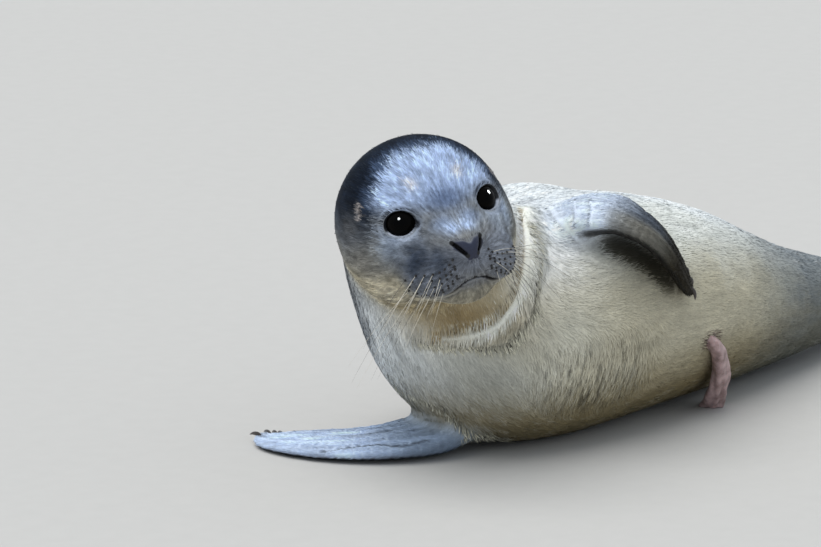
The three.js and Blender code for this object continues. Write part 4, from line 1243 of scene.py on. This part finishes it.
n = Nodes("seal_claw")
place = n.new("ShaderNodeTexCoord").outputs["Object"]
tipv = n.attribute("Along").outputs["Fac"]
grain = n.noise(n.new("ShaderNodeMapping", Vector=place, Scale=(1.0, 1.0, 3.0)).outputs[0], 500.0, 4.0, 0.65)
ramp = n.new("ShaderNodeValToRGB", Fac=n.math("ADD", tipv, n.math("MULTIPLY", n.math("SUBTRACT", grain, 0.5), 0.5)))
ramp.color_ramp.elements[0].color = (0.020, 0.015, 0.013, 1)
ramp.color_ramp.elements[1].color = (0.060, 0.047, 0.040, 1)
n.set(Base_Color=ramp.outputs[0], Roughness=n.new("ShaderNodeMapRange", Value=grain, To_Min=0.28, To_Max=0.5).outputs[0],
      Normal=n.new("ShaderNodeBump", Strength=0.35, Distance=0.0004, Height=grain).outputs[0], Coat_Weight=0.2)
claw_mat = n.mat
for set_, rows_, table in (("claw_fore_left", FORE_L, FORE_CLAWS), ("claw_fore_right", FORE_R, FORE_CLAWS),
                           ("claw_hind_left", HIND_L, HIND_CLAWS), ("claw_hind_right", HIND_R, HIND_CLAWS)):
    q8, T8, W8, N8 = frames_of(rows_, 8)
    Ps, Fs, As, at = [], [], [], 0
    for along, across, fan, high, long1, r in table:
        i = int(round(along * (len(q8) - 1)))
        up = N8[i] * (-1 if N8[i][2] < 0 else 1)
        d = unit(T8[i] * math.cos(fan) + W8[i] * math.sin(fan))
        base = q8[i, :3] + W8[i] * across * q8[i, 3] + up * high * q8[i, 4] * math.sqrt(1 - across * across)
        line = np.array([base + d * a * long1 + up * h * r * 1.5 for a, h in ((-0.3, -0.55), (0.25, 0.2), (0.65, 0.1), (1, -0.5))])
        if "hind" in set_:
            line = line + T8[-1] * (5 + 10 * across * across)
        L = catmull(line, 6)
        f = np.linspace(0, 1, len(L))
        r1 = r * np.interp(f, (0, 0.33, 0.66, 0.9, 1), (0.8, 0.85, 0.6, 0.3, 0.08))
        r2 = r * np.interp(f, (0, 0.33, 0.66, 0.9, 1), (0.8, 1.0, 0.7, 0.3, 0.08))
        P, F = loft(L, r1, r2, np.tile(unit(np.cross(up, d)), (len(L), 1)), 12)
        Ps.append(P); Fs.append(F + at); at += len(P)
        As.append(np.concatenate([np.repeat(f, 12), [0, 1]]))
    P = np.concatenate(Ps)
    P[:, 2] = np.maximum(P[:, 2], 0.25)
    ob = make(set_ + "s", row(P), np.concatenate(Fs), extra={"Along": np.concatenate(As)})
    ob.data.materials.append(claw_mat)
    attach(ob, "root")
    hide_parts(*[f"{set_}_{i}" for i in range(1, 6)])

# whiskers
n = Nodes("seal_whisker")
tipv = n.attribute("Along").outputs["Fac"]
shade_ = n.attribute("Shade").outputs["Fac"]
place = n.new("ShaderNodeTexCoord").outputs["Object"]
bead = n.noise(place, 900.0, 1.0, 0.5)
ramp = n.new("ShaderNodeValToRGB", Fac=n.math("ADD", n.math("MULTIPLY", shade_, 1.0), n.math("MULTIPLY", bead, 0.1)))
ramp.color_ramp.elements[0].color = (0.012, 0.011, 0.011, 1)
ramp.color_ramp.elements[1].color = (0.72, 0.68, 0.58, 1)
n.set(Base_Color=ramp.outputs[0], Roughness=n.new("ShaderNodeMapRange", Value=bead, To_Min=0.25, To_Max=0.45).outputs[0],
      Specular_IOR_Level=0.6)
whisker_mat = n.mat
Ps, Fs, As, Sh, at = [], [], [], [], 0
roots, dirs, lens, rads, shades = [], [], [], [], []
wr = np.random.default_rng(5)
for s in (1, -1):
    for fd, ud, r, c_ in DOTS:
        k, up_ = c_ / 7.0, r / 4.0
        d = np.array([0.50 - 0.46 * k, 0.45 + 0.40 * k, -0.66]) if s < 0 else np.array([0.40, 0.14 + 0.78 * up_, -0.86 + 0.80 * up_])
        d = unit(d + (0.07 if s < 0 else 0.13) * wr.normal(size=3))
        if s < 0:
            long1 = 5 + 1.6 * c_ if c_ < 3 else 20 + 13 * (c_ - 3) + 2.0 * (4 - r)
        else:
            long1 = 5 if c_ < 1 else 14 + 7.5 * c_
        if wr.random() < 0.35:
            long1 *= 0.45
        roots.append(np.array([fd, s * (14.0 + 3.6 * c_), ud])); dirs.append(d * np.array([1, s, 1]))
        lens.append(max(4, long1 * (0.85 + 0.3 * wr.random()))); rads.append(0.12 if long1 < 14 else 0.24)
        shades.append(0.9 if wr.random() < (0.66 if s < 0 else 0.3) and long1 >= 14 else 0.1)
    for k in range(3):      # over the eye
        roots.append(np.array([39.0 - 2 * k, s * (17.0 + 2 * k), 34.0])); dirs.append(unit((0.25 - 0.2 * k, s * 0.5, 0.75)))
        lens.append(9 + 2 * k); rads.append(0.12); shades.append(0.6)
rootsW = np.array([HC + HAX.T @ p for p in roots])
rootsW = settle(rootsW, 6)
for p, d, ln, rd, sh in zip(rootsW, dirs, lens, rads, shades):
    dW = HAX.T @ d
    for _ in range(30):      # a whisker that would reach too far ahead of the muzzle is shorter
        sag = np.array([0.06, 0.10, -0.42]) * ln * 0.55
        L = np.array([p - dW * 1.0 + dW * ln * t + sag * t * t for t in np.linspace(0, 1, 13)])
        if row(L)[:, 0].min() > cad_lo[0] - 0.028 and row(L)[:, 1].min() > cad_lo[1] - 0.014:
            break
        ln *= 0.93
    f = np.linspace(0, 1, 13)
    rr = rd * (1 - 0.85 * f ** 1.2)
    P, F = loft(L, rr, rr * 0.8, np.tile(unit(np.cross(dW, (0.3, 0.2, 1))), (13, 1)), 5)
    Ps.append(P); Fs.append(F + at); at += len(P)
    As.append(np.concatenate([np.repeat(f, 5), [0, 1]])); Sh.append(np.full(len(P), sh))
for p, rd in zip(rootsW[:], rads):      # the dark swollen follicle at each root
    if HAX[0] @ (p - HC) < 50:
        continue
    g = unit(evaluate(p[None])[1])[0]
    L = np.array([p - g * 1.4, p - g * 0.1, p + g * 0.6, p + g * 0.95])
    P, F = loft(L, np.array([1.05, 1.0, 0.74, 0.12]), np.array([1.05, 1.0, 0.74, 0.12]), np.tile(unit(np.cross(g, (0.3, 0.2, 1))), (4, 1)), 8)
    Ps.append(P); Fs.append(F + at); at += len(P)
    As.append(np.zeros(len(P))); Sh.append(np.full(len(P), -0.1))
P = np.concatenate(Ps)
ob = make("whiskers", row(P), np.concatenate(Fs), extra={"Along": np.concatenate(As), "Shade": np.concatenate(Sh)})
ob.data.materials.append(whisker_mat)
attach(ob, "root")

# navel stump: a shrivelled, twisted cord
n = Nodes("seal_navel")
place = n.new("ShaderNodeTexCoord").outputs["Object"]
a = n.noise(place, 120.0, 4.0, 0.6)
b2 = n.noise(n.new("ShaderNodeMapping", Vector=place, Scale=(1.0, 1.0, 0.25)).outputs[0], 420.0, 3.0, 0.6)
ramp = n.new("ShaderNodeValToRGB", Fac=a)
ramp.color_ramp.elements[0].position, ramp.color_ramp.elements[0].color = 0.30, (0.24, 0.155, 0.145, 1)
ramp.color_ramp.elements[1].position, ramp.color_ramp.elements[1].color = 0.62, (0.56, 0.40, 0.40, 1)
n.set(Base_Color=n.shade(ramp.outputs[0], b2, 0.7, 1.2), Roughness=n.new("ShaderNodeMapRange", Value=b2, To_Min=0.3, To_Max=0.6).outputs[0],
      Normal=n.new("ShaderNodeBump", Strength=0.6, Distance=0.0008, Height=b2).outputs[0], Subsurface_Weight=0.1)
n.bsdf.inputs["Subsurface Radius"].default_value = (0.004, 0.0015, 0.001)
q_ = catmull([r for r in STUMP], 12)
f = np.linspace(0, 1, len(q_))
sides = 40
P, F = loft(q_[:, :3], q_[:, 3] * 0.80, q_[:, 4] * 0.84, np.tile((1.0, 0, 0), (len(q_), 1)), sides)
C_ = np.repeat(q_[:, :3], sides, 0)
C_ = np.concatenate([C_, q_[:1, :3], q_[-1:, :3]])
v = P - C_
ang = np.arctan2(v[:, 1], v[:, 0])
tt = np.concatenate([np.repeat(f, sides), [0, 1]])
crumple = 0.10 * np.sin(3 * ang + 7 * tt) + 0.11 * np.sin(6 * ang + 3 * np.sin(6 * tt)) * ss(0.3, 0.7, tt) + 0.20 * (fbm(P / 6.0, 111) - 0.5)
P = P + v * crumple[:, None]
P[:, 2] = np.maximum(P[:, 2], 0.3)
ob = make("navel_cord_stump", row(P), F)
ob.data.materials.append(n.mat)
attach(ob, "root")
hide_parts("navel_stump")

# ------------------------------------------------------------------ floor, light and camera
n = Nodes("studio_floor")
place = n.new("ShaderNodeTexCoord").outputs["Object"]
spk = n.noise(place, 60.0, 3.0, 0.5)
base = n.new("ShaderNodeCombineColor", i0=0.52, i1=0.515, i2=0.505).outputs[0]
n.set(Base_Color=n.shade(base, spk, 0.97, 1.03), Roughness=0.9, Specular_IOR_Level=0.2)
fm = bpy.data.meshes.new("floor")
fm.from_pydata([(-30, -30, 0), (30, -30, 0), (30, 30, 0), (-30, 30, 0)], [], [(0, 1, 2, 3)])
floor = bpy.data.objects.new("floor", fm)
bpy.context.scene.collection.objects.link(floor)
fm.materials.append(n.mat)

world = bpy.data.worlds.new("studio")
bpy.context.scene.world = world
world.use_nodes = True
bg = world.node_tree.nodes.get("Background") or world.node_tree.nodes.new("ShaderNodeBackground")
bg.inputs[0].default_value = (0.86, 0.93, 1.0, 1)
bg.inputs[1].default_value = 0.66


def lamp(name, at, to, size, power, colour):
    l = bpy.data.lights.new(name, "AREA")
    l.shape = "DISK"
    l.size, l.energy, l.color = size, power, colour
    o = bpy.data.objects.new(name, l)
    o.location = at
    o.rotation_mode = "QUATERNION"
    o.rotation_quaternion = (Vector(to) - Vector(at)).to_track_quat("-Z", "Y")
    bpy.context.scene.collection.objects.link(o)
    return o


sun = bpy.data.lights.new("key", "SUN")
sun.energy, sun.angle, sun.color = 2.3, math.radians(60), (1.0, 0.975, 0.93)
key = bpy.data.objects.new("key", sun)
key.rotation_mode = "QUATERNION"
key.rotation_quaternion = Vector((0.30, -0.16, -1.0)).to_track_quat("-Z", "Y")
key.visible_glossy = False
bpy.context.scene.collection.objects.link(key)
A, E, DIST, FPX = math.radians(-53), math.radians(12), 4200.0, 1.33 * 4200.0
back = np.array([math.sin(A) * math.cos(E), -math.cos(A) * math.cos(E), math.sin(E)])
right = np.array([math.cos(A), math.sin(A), 0.0])
up = np.cross(back, right)
at = right * -67.0 + np.array([0, 0, 137.0]) + DIST * back

# one small lamp for each eye gives it a wet point of light and reaches nothing else
for side, ob in ((side, o) for side in ("left", "right") for o in bpy.data.objects if o.name == "eye_" + side + "_ball"):
    ball = np.array([v.co[:] for v in ob.data.vertices])
    mid = (ball.min(0) + ball.max(0)) / 2
    n_ = unit(HAX.T @ (LOOK * np.array([1, 1 if side == "left" else -1, 1]))) + 0.34 * up - 0.05 * right
    n_ = n_ / np.linalg.norm(n_)
    ray = 2 * (n_ @ back) * n_ - back
    lit = lamp("catch_" + side, mid + 2.6 * ray, mid, 0.75, 500, (0.93, 0.97, 1.0))
    lit.visible_diffuse = False
    only = bpy.data.collections.new("eye_lit_" + side)
    only.objects.link(ob)
    lit.light_linking.receiver_collection = only

cam = bpy.data.cameras.new("camera")
cam.sensor_width = 36
cam.lens = FPX / 821 * 36
cam.clip_start, cam.clip_end = 0.1, 100
camera = bpy.data.objects.new("camera", cam)
camera.matrix_world = Matrix([[right[i], up[i], back[i], row(at)[i]] for i in range(3)] + [[0, 0, 0, 1]])
bpy.context.scene.collection.objects.link(camera)
bpy.context.scene.camera = camera
bpy.context.scene.view_settings.view_transform = "Standard"
